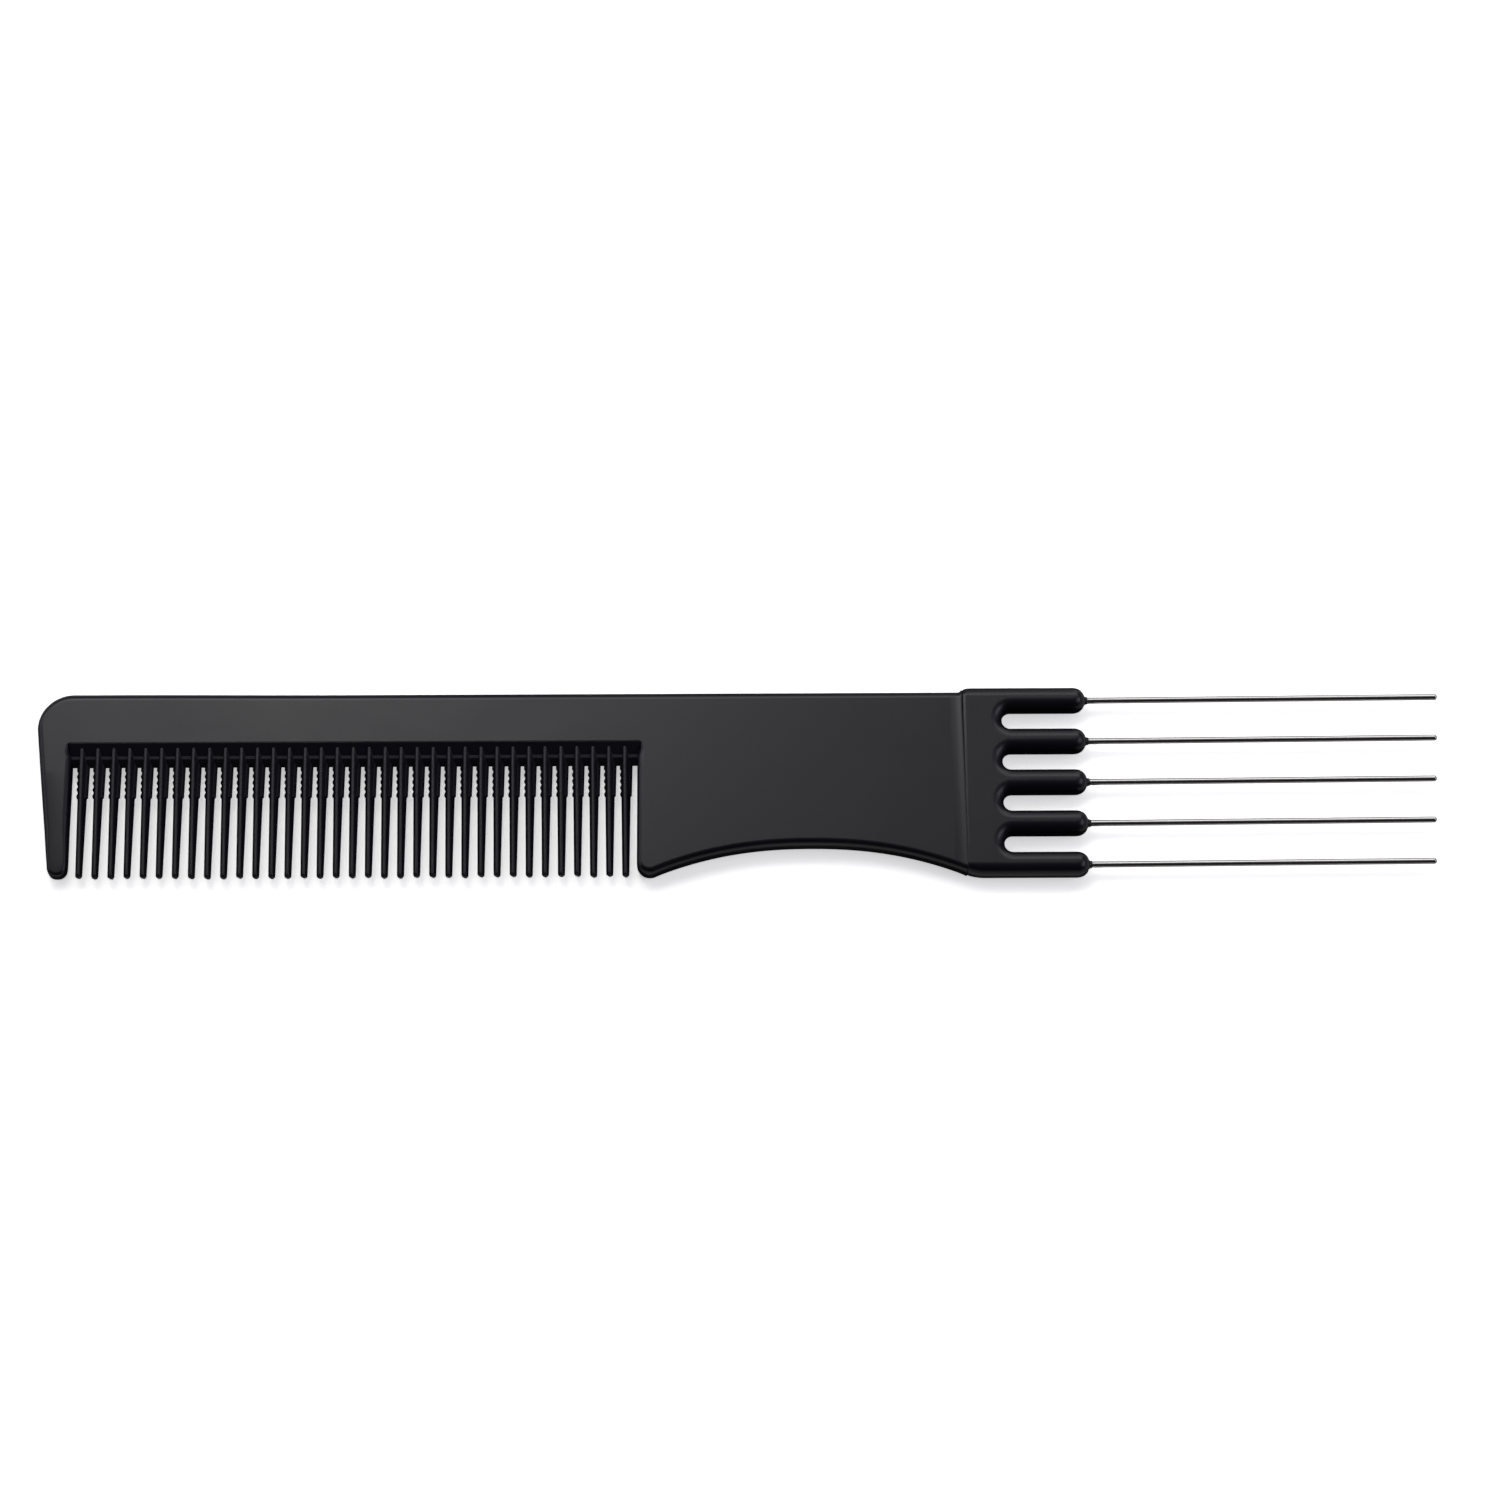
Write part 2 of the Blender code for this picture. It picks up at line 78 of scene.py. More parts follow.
@dataclass(frozen=True)
class Datum:
    """Where the comb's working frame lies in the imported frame.

    Attributes:
        seam_x: The seam, in metres.
        middle_y: The middle finger's centre line, in metres.
        parting_z: The parting plane, in metres.
    """

    seam_x: float
    middle_y: float
    parting_z: float

    @classmethod
    def from_frame(cls, clearance: float) -> Datum:
        """Finds the datum from the boxes of the two mouldings.

        Args:
            clearance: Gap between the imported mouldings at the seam, in millimetres.

        Returns:
            The datum.
        """
        body_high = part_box("comb_body")[1]
        head_low, head_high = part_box("fork_head")
        middle = [(low + high) / 2 for low, high in zip(head_low, head_high)]
        return cls(body_high[0] + clearance / 2 * MM, middle[1], middle[2])

    def place(self, points: Array) -> Array:
        """Carries points from the working frame, in millimetres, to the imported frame, in metres."""
        return points * MM + np.array([self.seam_x, self.middle_y, self.parting_z])


def unit(vectors: Array) -> Array:
    """Scales each vector to length one."""
    return vectors / np.linalg.norm(vectors, axis=-1, keepdims=True)


def ease(share: Array) -> Array:
    """Smooth step from 0 to 1: three squares less two cubes of the share, which is held between 0 and 1."""
    share = np.clip(share, 0.0, 1.0)
    return share * share * (3.0 - 2.0 * share)


def between(first: Numbers, last: Numbers, share: Numbers) -> Array:
    """What lies a share of the way from first to last."""
    return first + (last - first) * share


def joined(*coordinates: Numbers) -> Array:
    """Points made of their coordinates, which are broadcast against each other."""
    return np.stack(np.broadcast_arrays(*coordinates), axis=-1)


def corners(*points: tuple[Numbers, Numbers]) -> Array:
    """Corners of a section or an outline, each given by its two coordinates, (..., corner, 2)."""
    return np.stack([joined(*point) for point in points], axis=-2)


def round_corner(before: Array, corner: Array, after: Array, radius: Numbers, steps: int) -> Array:
    """Arcs that round corners. A centre lies on the bisector, at the radius over the sine of half the angle.

    Args:
        before: Points before the corners, (..., 2).
        corner: The corners, (..., 2).
        after: Points after the corners, (..., 2).
        radius: Radii that broadcast with the corners' leading axes.
        steps: Steps along each arc.

    Returns:
        Arc points, (..., steps + 1, 2).
    """
    to_before, to_after = unit(before - corner), unit(after - corner)
    half = np.arccos(np.clip(np.sum(to_before * to_after, axis=-1), -1.0, 1.0)) / 2
    radius = np.asarray(radius, dtype=float)
    reach = (radius / np.sin(half))[..., None]
    tangent = (radius / np.tan(half))[..., None]
    centre = corner + unit(to_before + to_after) * reach
    first, last = corner + to_before * tangent - centre, corner + to_after * tangent - centre
    start = np.arctan2(first[..., 1], first[..., 0])
    sweep = (np.arctan2(last[..., 1], last[..., 0]) - start + math.pi) % (2 * math.pi) - math.pi
    angles = start[..., None] + sweep[..., None] * np.linspace(0.0, 1.0, steps + 1)
    return centre[..., None, :] + radius[..., None, None] * joined(np.cos(angles), np.sin(angles))


def rounded_ring(section: Array, radii: Numbers, steps: int) -> Array:
    """Closed sections with every corner rounded.

    Args:
        section: Corners of the sections in order, (..., corner, 2).
        radii: Radius of each corner, (..., corner), or of all of them.
        steps: Steps along each arc.

    Returns:
        Points of the sections, (..., corner * (steps + 1), 2).
    """
    before, after = np.roll(section, 1, axis=-2), np.roll(section, -1, axis=-2)
    arcs = round_corner(before, section, after, radii, steps)
    return arcs.reshape(*arcs.shape[:-3], -1, 2)


@dataclass
class Path:
    """An outline walked anticlockwise, from one end of a seam to its other end.

    Attributes:
        runs: Its named runs of points in order, each (n, 2).
    """

    runs: dict[str, Array]

    @property
    def points(self) -> Array:
        """All points of the outline."""
        return np.concatenate(list(self.runs.values()))

    def span(self, name: str) -> Array:
        """Indices of a run's points in the whole outline."""
        earlier = list(self.runs)[:list(self.runs).index(name)]
        return sum(len(self.runs[run]) for run in earlier) + np.arange(len(self.runs[name]))

    def mitres(self) -> Array:
        """Outward mitre of each point: sum of the two edges' normals over one plus their product.

        At both ends the mitre stays in the plane of the seam.

        Returns:
            Vectors, (n, 2), that move a point one millimetre square to its edges.
        """
        along = unit(np.diff(self.points, axis=0))
        normals = joined(along[:, 1], -along[:, 0])
        before, after = normals[:-1], normals[1:]
        inner = (before + after) / (1.0 + np.sum(before * after, axis=-1, keepdims=True))
        first, last = ([(0.0, 1.0 / normals[end, 1])] for end in (0, -1))
        return np.concatenate([first, inner, last])


@dataclass
class Surface:
    """Collects the grids and caps of one mesh, and makes its object.

    Attributes:
        parts: The points that were added, each (n, 3).
        marks: Their marks, each (n,).
        faces: Indices of each face's corners.
        smooth: Whether each face is shaded smooth.
    """

    parts: list[Array] = field(default_factory=list)
    marks: list[Array] = field(default_factory=list)
    faces: list[list[int]] = field(default_factory=list)
    smooth: list[bool] = field(default_factory=list)

    def points(self, points: Array, mark: Numbers = 0.0) -> Array:
        """Adds points.

        Args:
            points: Points, (..., 3).
            mark: How far each point lies on the rubbed line, from 0 to 1. The line's lighter colour is partly
            wear and partly a painted highlight.

        Returns:
            The points' indices, in the shape of the leading axes.
        """
        shape = points.shape[:-1]
        index = sum(map(len, self.parts)) + np.arange(math.prod(shape)).reshape(shape)
        self.parts.append(points.reshape(-1, 3))
        self.marks.append(np.broadcast_to(mark, shape).reshape(-1))
        return index

    def polygons(self, index: Array, smooth: bool) -> None:
        """Adds a face for each row of indices, (face, corner)."""
        self.faces += index.tolist()
        self.smooth += [smooth] * len(index)

    def quads(self, index: Array, smooth: bool = True) -> None:
        """Adds the quads between neighbouring rows and columns of indices, (..., row, column)."""
        around = (index[..., :-1, :-1], index[..., :-1, 1:], index[..., 1:, 1:], index[..., 1:, :-1])
        self.polygons(joined(*around).reshape(-1, 4), smooth)

    def cap(self, *runs: Array) -> None:
        """Adds one flat face through runs of indices."""
        self.polygons(np.concatenate(runs)[None], smooth=False)

    def loft(self, points: Array) -> None:
        """Adds closed rings joined one to the next, with a flat cap on each end.

        Args:
            points: Points, (..., ring, point on the ring, 3).
        """
        index = self.points(points)
        self.quads(np.concatenate([index, index[..., :1]], axis=-1))
        for end in (0, -1):
            self.polygons(index[..., end, :].reshape(-1, index.shape[-1]), smooth=False)

    def build(self, name: str, datum: Datum) -> Piece:
        """Makes the object, with its faces turned outwards.

        Args:
            name: Name of the piece.
            datum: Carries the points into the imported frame.

        Returns:
            The object, at the origin.
        """
        mesh = bpy.data.meshes.new(name)
        mesh.from_pydata(datum.place(np.concatenate(self.parts)), [], self.faces)
        mesh.polygons.foreach_set("use_smooth", self.smooth)
        # The rubbed mark lightens the step's colour: partly wear and partly a painted highlight.
        mesh.attributes.new("rubbed", "FLOAT", "POINT").data.foreach_set("value", np.concatenate(self.marks))
        shape = bmesh.new()
        shape.from_mesh(mesh)
        bmesh.ops.recalc_face_normals(shape, faces=shape.faces)
        shape.to_mesh(mesh)
        shape.free()
        piece = bpy.data.objects.new(name, mesh)
        bpy.context.scene.collection.objects.link(piece)
        return piece


@dataclass(frozen=True)
class Rim:
    """Section of a moulding's rim: a quarter round, a wall, and the quarter round again.

    The mould's upper half sits a little towards the comb's back, so on edges that face the teeth's side the
    upper part of the wall stands back by a fine step, whose outer edge is a low flash line.

    Attributes:
        step: Width of the step at the parting line, on an edge that squarely faces the teeth's side.
        least_step: Its width on every other edge.
        level: The step's height over the middle plane.
        flash: How far its outer edge stands up.
        support: Height of the narrow strips of wall on both sides of the step.
        steps: Steps along each quarter round.
    """

    step: float = 0.06
    least_step: float = 0.015
    level: float = 0.06
    flash: float = 0.02
    support: float = 0.03
    steps: int = 10

    @property
    def ledge(self) -> int:
        """Place in the section of the step's inner edge."""
        return self.steps + 2

    def section(self, radius: Array, half_thickness: Array, facing: Array) -> tuple[Array, Array, Array]:
        """Works out the rim at every station of a path.

        With t from 0 to a quarter turn, the round lies radius * (1 - sin t) inside the outline and
        radius * (1 - cos t) below the face. The upper round's insets are drawn in to end on the step.

        Args:
            radius: Radius of the rounds at each station, (n,).
            half_thickness: Half the plate's thickness there, (n,).
            facing: How squarely the edge faces the teeth's side there, from 0 to 1, (n,).

        Returns:
            Inset from the outline, height, and mark of the step, each (n, point of the section).
        """
        turn = np.linspace(0.0, math.pi / 2, self.steps + 1)
        lower = radius[:, None] * (1.0 - np.sin(turn))
        rounds = half_thickness[:, None] - radius[:, None] * (1.0 - np.cos(turn))
        step = np.clip(self.step * facing[:, None], self.least_step, radius[:, None] / 2)
        upper = step + lower * (1.0 - step / radius[:, None])
        lip = self.level + self.flash
        wall = np.array([self.level + self.support, self.level, lip, lip - self.support])
        # The step's mark lightens its colour: partly rubbed wear and partly a painted highlight.
        mark = np.zeros((len(radius), 2 * len(turn) + len(wall)))
        mark[:, self.ledge:self.ledge + 2] = 1.0
        return (
            np.concatenate([upper, step * np.array([1.0, 1.0, 0.0, 0.0]), lower[:, ::-1]], axis=1),
            np.concatenate([rounds, np.ones_like(step) * wall, -rounds[:, ::-1]], axis=1),
            mark,
        )


@dataclass(frozen=True)
class Seam:
    """The joint between the comb and its fork head, a hair out of square.

    Attributes:
        gap: Gap between the two mouldings.
        top: Height of the spine's back where the two meet.
        foot: Height of the lower edge where the two meet.
        half_thickness: Half the comb's thickness where it meets the head.
        slant: How far the seam's foot lies nearer the prongs than its middle, and its top nearer the comb.
        breaks: Distances from the seam at which its broken edges are worked out.
        drops: How far the edges sink at those distances.
    """

    gap: float = 0.04
    top: float = 13.5
    foot: float = -13.3
    half_thickness: float = 1.82
    slant: float = 0.12
    breaks: tuple[float, ...] = (0.0, 0.06, 0.14, 0.26, 0.42)
    drops: tuple[float, ...] = (0.1, 0.05, 0.022, 0.007, 0.0)

    def distances(self) -> Array:
        """Distances of the broken edges' stations from the seam's middle line."""
        return self.gap / 2 + np.array(self.breaks)

    def line(self, y: float) -> float:
        """Place of the seam's middle line at a height."""
        return -self.slant * y / self.top


@dataclass
class Moulding:
    """A flat moulding that ends on the seam.

    Attributes:
        seam: The seam.
        rim: Section of its rim.
    """

    seam: Seam
    rim: Rim = Rim()

    def skin(self, surface: Surface, points: Array, inner: Array, radius: Array, thickness: Array) -> Array:
        """Adds the rim along the outline, and the flat end on the seam.

        A point of the rim lies between the outline and its inner edge, at its inset over the radius. At both
        ends of the outline it sinks by the seam's drops.

        Args:
            surface: Takes the faces.
            points: The outline, from one end of the seam to the other, (n, 2).
            inner: Where the flat face begins inside each point of the outline, (n, 2).
            radius: Radius of the rim's rounds at each point.
            thickness: Half the moulding's thickness at each point.

        Returns:
            Indices of the upper and of the lower flat face's edge, (2, n).
        """
        drops = self.seam.drops
        drop = np.concatenate([drops, np.zeros(len(points) - 2 * len(drops)), drops[::-1]])
        facing = np.clip(-unit(points - inner)[:, 1], 0.0, 1.0)
        inset, height, mark = self.rim.section(radius, thickness, facing)
        share = (inset + drop[:, None]) / radius[:, None]
        height = height * (1.0 - drop / thickness)[:, None]
        flat = between(points[:, None, :], inner[:, None, :], share[..., None])
        index = surface.points(np.concatenate([flat, height[..., None]], axis=-1), mark)
        ledge = self.rim.ledge
        surface.quads(index[:, :ledge + 1])
        surface.quads(index[:, ledge:ledge + 2], smooth=False)
        surface.quads(index[:, ledge + 1:])
        surface.cap(index[0], index[-1][::-1])
        return index[:, [0, -1]].T


@dataclass
class CombMoulding(Moulding):
    """The comb: spine, guard tooth, tooth row with nicked root fins, and the hollowed grip."""

    top: float = 13.05
    back_rise: float = 0.15
    back_rise_from: float = -85.0
    back_points: int = 9
    half_thickness: float = 1.7
    edge_radius: float = 0.85
    back_edge_radius: float = 1.09
    corner_radius: float = 4.9
    corner_steps: int = 32
    spine_height: float = 7.23
    foot_edge_radius: float = 0.08
    recess_radius: float = 0.35
    recess_steps: int = 10
    undercut: float = 0.42
    undercut_from: float = 2.2
    undercut_to: float = 0.75
    undercut_points: int = 14
    guard_top_width: float = 5.49
    guard_tip_width: float = 2.6
    guard_tip_radius: float = 1.25
    guard_tip_steps: int = 18
    guard_wall_end: float = 1.375
    guard_wall_points: int = 24
    guard_tip_edge_radius: float = 0.55
    guard_edge_from: float = 7.5
    guard_edge_run: float = 5.0
    guard_taper: float = 15.0
    guard_taper_power: float = 1.3
    guard_shortfall: float = 0.14
    guard_tip_half_thickness: float = 1.2
    grip_length: float = 45.5
    heel_radius: float = 1.8
    heel_steps: int = 24
    hollow_centre: float = -21.45
    hollow_half_length: float = 21.0
    hollow_depth: float = 3.76
    hollow_to_top: float = 22.34
    hollow_power: float = 2.24
    hollow_points: int = 90
    flare_length: float = 1.8
    flare_power: float = 3.0
    flare_points: int = 10
    back_flare_length: float = 0.5
    step_run: float = 1.68
    ledge_width: float = 0.44
    ledge_half_thickness: float = 0.72
    ledge_fall: float = 0.04
    root_run: float = 1.0
    root_edge_half_thickness: float = 0.15
    buried: float = 0.9
    bar_edge_radii: tuple[float, ...] = (0.05, 0.04, 0.1, 0.1, 0.06)
    bar_stations: int = 60
    tooth_count: int = 35
    tooth_pitch: float = 2.223
    end_tooth_offset: float = 1.58
    tooth_length: float = 16.2
    tooth_buried: float = 0.6
    tooth_root_width: float = 1.46
    tooth_tip_width: float = 1.0
    tooth_shift: float = 0.02
    tooth_lean: float = 0.04
    tooth_root_height: float = 1.2
    tooth_tip_height: float = 0.7
    tooth_edge_radius: float = 0.12
    tooth_stations: int = 16
    ridge_width: float = 0.38
    ridge_offset: float = 0.18
    ridge_edge_radius: float = 0.17
    edge_steps: int = 4
    tip_round: float = 0.5
    tip_power: float = 2.6
    tip_stations: int = 10
    tip_end_share: float = 0.985
    tip_spacing_power: float = 1.6
    tip_skew: float = 0.08
    tip_skew_shares: tuple[float, float] = (0.2, 1.6)
    tip_spread: float = 0.05
    tip_spread_power: int = 4
    tooth_seed: int = 35
    fin_half_thickness: float = 0.5
    fin_edge_half_thickness: float = 0.09
    fin_edge_radius: float = 0.05
    fin_edge_steps: int = 2
    fin_inner_half_width: float = 0.4
    fin_inner_end_share: float = 0.8
    fin_root_half_width: float = 0.9
    fin_end_half_width: float = 0.82
    fin_length: float = 4.4
    fin_stations: int = 70
    fin_run_out: float = 0.5
    fin_run_out_stations: int = 6
    nick_pitch: float = 0.95
    nick_phase_share: float = 0.9
    nick_depth: float = 0.16
    nick_run_in: float = 0.4
    nick_run_out: float = 0.3
    nick_end_share: float = 0.4

    @property
    def spine_foot(self) -> float:
        """Height of the spine's lower edge."""
        return self.top - self.spine_height

    @property
    def ledge_foot(self) -> float:
        """Height of the ledge's lower edge."""
        return self.spine_foot - self.step_run - self.ledge_width

    @property
    def root_line(self) -> float:
        """Height of the thin edge between the teeth."""
        return self.ledge_foot - self.root_run

    @property
    def tip_line(self) -> float:
        """Height of the tooth tips."""
        return self.root_line - self.tooth_length

    @property
    def guard_tip_line(self) -> float:
        """Height of the guard tooth's tip."""
        return self.tip_line + self.guard_shortfall

    @property
    def grip_wall(self) -> float:
        """Place of the grip's wall behind the last tooth."""
        return -self.grip_length

    @property
    def guard_wall(self) -> float:
        """Place of the guard tooth's inner wall."""
        return self.grip_wall - (self.tooth_count - 1) * self.tooth_pitch - 2 * self.end_tooth_offset

    @property
    def tooth_places(self) -> Array:
        """Places of the teeth, from the grip to the guard tooth."""
        return self.grip_wall - self.end_tooth_offset - self.tooth_pitch * np.arange(self.tooth_count)

    def hollow(self, x: Numbers) -> Numbers:
        """Height of the grip's lower edge: a power curve about the middle of the finger hollow."""
        share = np.abs(x - self.hollow_centre) / self.hollow_half_length
        return self.top - self.hollow_to_top - self.hollow_depth * share**self.hollow_power

    def path(self) -> Path:
        """Walks the outline from the seam's top round the guard tooth and the grip to the seam's foot.

        Returns:
            The outline.
        """
        outer_top, outer_tip, inner_tip, notch, notch_end, heel = corners(
            (self.guard_wall - self.guard_top_width, self.top + self.back_rise),
            (self.guard_wall - self.guard_tip_width, self.guard_tip_line),
            (self.guard_wall, self.guard_tip_line),
            (self.guard_wall - self.undercut, self.spine_foot),
            (self.grip_wall + self.undercut, self.spine_foot),
            (self.grip_wall, self.hollow(self.grip_wall)),
        )
        seam_xs = -self.seam.distances()
        flare_xs = np.linspace(seam_xs[-1], -self.flare_length, self.flare_points)[1:]
        xs = np.concatenate([seam_xs, flare_xs])
        stay = ease(1.0 + xs / self.flare_length)
        flare = ease(1.0 + xs / self.back_flare_length)
        top_xs, foot_xs = (xs + self.seam.line(y) * stay for y in (self.top, self.seam.foot))
        foot_ys = self.hollow(foot_xs) + (self.seam.foot - self.hollow(0.0)) * flare
        back_xs = np.linspace(self.back_rise_from, outer_top[0] + 2 * self.corner_radius, self.back_points)
        climb = ease((back_xs - back_xs[0]) / (back_xs[-1] - back_xs[0]))
        wall_top, wall_end = (self.guard_tip_line + up for up in (self.guard_taper, self.guard_wall_end))
        wall_ys = np.linspace(wall_top, wall_end, self.guard_wall_points)
        slope = (outer_tip - outer_top) / (outer_tip[1] - outer_top[1])
        tip = self.guard_tip_radius, self.guard_tip_steps
        recess = self.recess_radius, self.recess_steps
        cut_ys = self.spine_foot - np.linspace(self.undercut_from, self.undercut_to, self.undercut_points)
        cut = self.undercut * ease(np.linspace(0.0, 1.0, len(cut_ys)))
        guard_cut = joined(self.guard_wall - cut, cut_ys)
        grip_cut = joined(self.grip_wall + cut, cut_ys)[::-1]
        hollow_xs = np.linspace(self.grip_wall + 2 * self.heel_radius, -self.flare_length, self.hollow_points)
        hollow = joined(hollow_xs, self.hollow(hollow_xs))
        return Path({
            "seam_top": joined(top_xs, self.top + (self.seam.top - self.top) * flare),
            "back": joined(back_xs, self.top + self.back_rise * climb),
            "corner": round_corner(
                np.array([0.0, outer_top[1]]), outer_top, outer_tip, self.corner_radius, self.corner_steps),
            "guard_outer": outer_top + slope * (wall_ys - outer_top[1])[:, None],
            "guard_tip": np.concatenate([
                round_corner(outer_top, outer_tip, inner_tip, *tip),
                round_corner(outer_tip, inner_tip, notch, *tip)[1:]]),
            "guard_inner": joined(self.guard_wall, wall_ys[::-1]),
            "notch": np.concatenate([guard_cut, round_corner(guard_cut[-1], notch, notch_end, *recess)]),
            "notch_end": np.concatenate([round_corner(notch, notch_end, grip_cut[0], *recess), grip_cut]),
            "heel": round_corner(grip_cut[-1], heel, hollow[0], self.heel_radius, self.heel_steps),
            "hollow": hollow,
            "seam_foot": joined(foot_xs, foot_ys)[::-1][1:],
        })

    def thickness(self, points: Array) -> Array:
        """Works out half the thickness: thinner towards the guard's tip, thicker towards the seam.

        Args:
            points: Points of the outline, (n, 2).

        Returns:
            Half the thickness there, (n,).
        """
        down = np.clip((self.guard_tip_line + self.guard_taper - points[:, 1]) / self.guard_taper, 0.0, 1.0)
        thinner = (self.half_thickness - self.guard_tip_half_thickness) * down**self.guard_taper_power
        in_guard = points[:, 0] < (self.guard_wall + self.grip_wall) / 2
        nearer = np.clip(1.0 + points[:, 0] / self.flare_length, 0.0, 1.0)
        thicker = (self.seam.half_thickness - self.half_thickness) * nearer**self.flare_power
        return self.half_thickness - thinner * in_guard + thicker

    def plate(self, surface: Surface) -> None:
        """Adds the thick plate: its rim, its two faces, the guard's tapering faces and the seam's flare.

        Args:
            surface: Takes the faces.
        """
        path = self.path()
        points, mitres = path.points, path.mitres()
        radius = between(self.edge_radius, self.back_edge_radius, ease(unit(mitres)[:, 1]))
        for name in ("guard_outer", "guard_tip", "guard_inner"):
            run = path.span(name)
            above = points[run, 1] - self.guard_tip_line
            near_tip = ease((self.guard_edge_from - above) / self.guard_edge_run)
            radius[run] = between(radius[run], self.guard_tip_edge_radius, near_tip)
        notch, notch_end = path.span("notch"), path.span("notch_end")
        sharper = (self.foot_edge_radius - self.edge_radius) * ease(np.linspace(0.0, 1.0, len(notch)))
        radius[notch] += sharper
        radius[notch_end] += sharper[::-1]
        inner = points - mitres * radius[:, None]
        seam_top, seam_foot = path.span("seam_top"), path.span("seam_foot")
        radius[seam_top] = self.back_edge_radius
        inner[seam_top] = joined(points[seam_top, 0], self.top - self.back_edge_radius)
        foot_side = np.concatenate([seam_foot[::-1], path.span("hollow")[-1:]])
        outer, wall = path.span("guard_outer"), path.span("guard_inner")
        for face in self.skin(surface, points, inner, radius, self.thickness(points)):
            surface.quads(face[np.stack([seam_top, foot_side])])
            surface.quads(face[np.stack([outer, wall[::-1]])])
            surface.cap(face[seam_top[-1]:outer[0] + 1], face[wall[-1]:foot_side[-1] + 1])
            surface.cap(face[outer[-1]:wall[0] + 1])

    def root_bar(self, surface: Surface) -> None:
        """Adds the bar that steps down from the spine to the tooth roots: one section carried along x.

        Args:
            surface: Takes the faces.
        """
        slope_top = self.half_thickness - self.foot_edge_radius
        upper = corners(
            (self.spine_foot + self.buried, slope_top),
            (self.spine_foot - self.foot_edge_radius / 2, slope_top),
            (self.spine_foot - self.step_run, self.ledge_half_thickness),
            (self.ledge_foot, self.ledge_half_thickness - self.ledge_fall),
            (self.root_line, self.root_edge_half_thickness),
        )
        section = np.concatenate([upper, upper[::-1] * (1.0, -1.0)])
        ring = rounded_ring(section, self.bar_edge_radii + self.bar_edge_radii[::-1], self.edge_steps)
        reach = self.undercut + self.buried
        xs = np.linspace(self.guard_wall - reach, self.grip_wall + reach, self.bar_stations)
        surface.loft(joined(xs[:, None], *ring.T))

    def teeth(self, surface: Surface) -> None:
        """Adds all the teeth: six-cornered sections lofted down each tooth, drawn in to a blunt round tip.

        Over the tip's last stretch, with t from 0 to 1, a section shrinks along a superellipse of t. Each
        tip is skewed by its own share, with t squared, and each tooth is a little longer or shorter.

        Args:
            surface: Takes the faces.
        """
        rng = np.random.default_rng(self.tooth_seed)
        straight_end = self.tip_line + self.tip_round
        body = np.linspace(self.spine_foot + self.tooth_buried, straight_end, self.tooth_stations)
        left = 1.0 - np.linspace(0.0, self.tip_end_share, self.tip_stations)[1:]
        t = np.concatenate([np.zeros(len(body)), 1.0 - left**self.tip_spacing_power])
        ys = np.concatenate([body, self.tip_line + self.tip_round * (1.0 - t[len(body):])])
        shrink = (1.0 - t**self.tip_power) ** (1.0 / self.tip_power)
        along = (self.root_line - ys) / self.tooth_length
        down = np.clip(along, 0.0, 1.0)
        half_width = between(self.tooth_root_width, self.tooth_tip_width, along) / 2 * shrink
        height = between(self.tooth_root_height, self.tooth_tip_height, along) * shrink
        middle = -self.ridge_offset * np.clip(1.0 - along, 0.0, 1.0)
        half_ridge = self.ridge_width / 2 * shrink
        section = corners(
            (-half_width, 0.0), (middle - half_ridge, height), (middle + half_ridge, height),
            (half_width, 0.0), (middle + half_ridge, -height), (middle - half_ridge, -height),
        )
        radii = np.array([self.tooth_edge_radius, self.ridge_edge_radius, self.ridge_edge_radius] * 2)
        ring = rounded_ring(section, radii * shrink[:, None], self.edge_steps)
        skew = self.tip_skew * rng.uniform(*self.tip_skew_shares, self.tooth_count)[:, None]
        longer = rng.normal(0.0, self.tip_spread, self.tooth_count)[:, None]
        across = self.tooth_places[:, None] + (self.tooth_shift + self.tooth_lean * down) + skew * t**2
        ys = ys + longer * down**self.tip_spread_power
        surface.loft(joined(across[..., None] + ring[..., 0], ys[..., None], ring[..., 1]))

    def fins(self, surface: Surface) -> None:
        """Adds the root fins: flat wedges with thin edges, scalloped on the side that faces the guard tooth.

        The scallop's depth at a drop d below the root line follows 1 + cos(2 pi d / pitch), halved.

        Args:
            surface: Takes the faces.
        """
        end, run_out = self.fin_length, self.fin_run_out
        beyond = np.linspace(end, end + run_out, self.fin_run_out_stations)[1:]
        drop = np.concatenate([np.linspace(-self.buried, end, self.fin_stations), beyond])
        plain = between(self.fin_root_half_width, self.fin_end_half_width, np.clip(drop / end, 0.0, 1.0))
        wave = (1.0 + np.cos(2 * math.pi * (drop / self.nick_pitch - self.nick_phase_share))) / 2
        run_in = ease(drop / self.nick_run_in)
        nick = self.nick_depth * wave * run_in * ease((end - drop) / self.nick_run_out + self.nick_end_share)
        half_ridge, close = self.ridge_width / 2, ease((drop - end) / run_out)
        grip_side, guard_side = between(plain, half_ridge, close), between(plain - nick, half_ridge, close)
        flank = between(self.fin_inner_half_width, half_ridge * self.fin_inner_end_share, close)
        thick, thin = self.fin_half_thickness, self.fin_edge_half_thickness
        upper = [(-guard_side, thin), (-flank, thick), (flank, thick), (grip_side, thin)]
        section = corners(*upper, *((across, -up) for across, up in upper[::-1]))
        ring = rounded_ring(section, self.fin_edge_radius, self.fin_edge_steps)
        across = self.tooth_places[:, None, None] + self.tooth_shift + ring[..., 0]
        surface.loft(joined(across, (self.root_line - drop)[:, None], ring[..., 1]))

    def build(self, datum: Datum) -> list[Piece]:
        """Makes the comb's pieces.

        Args:
            datum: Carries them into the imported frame.

        Returns:
            The plate with its root bar, and the tooth row.
        """
        plate, row = Surface(), Surface()
        self.plate(plate)
        self.root_bar(plate)
        self.teeth(row)
        self.fins(row)
        return [plate.build("comb_spine_and_grip", datum), row.build("comb_tooth_row", datum)]


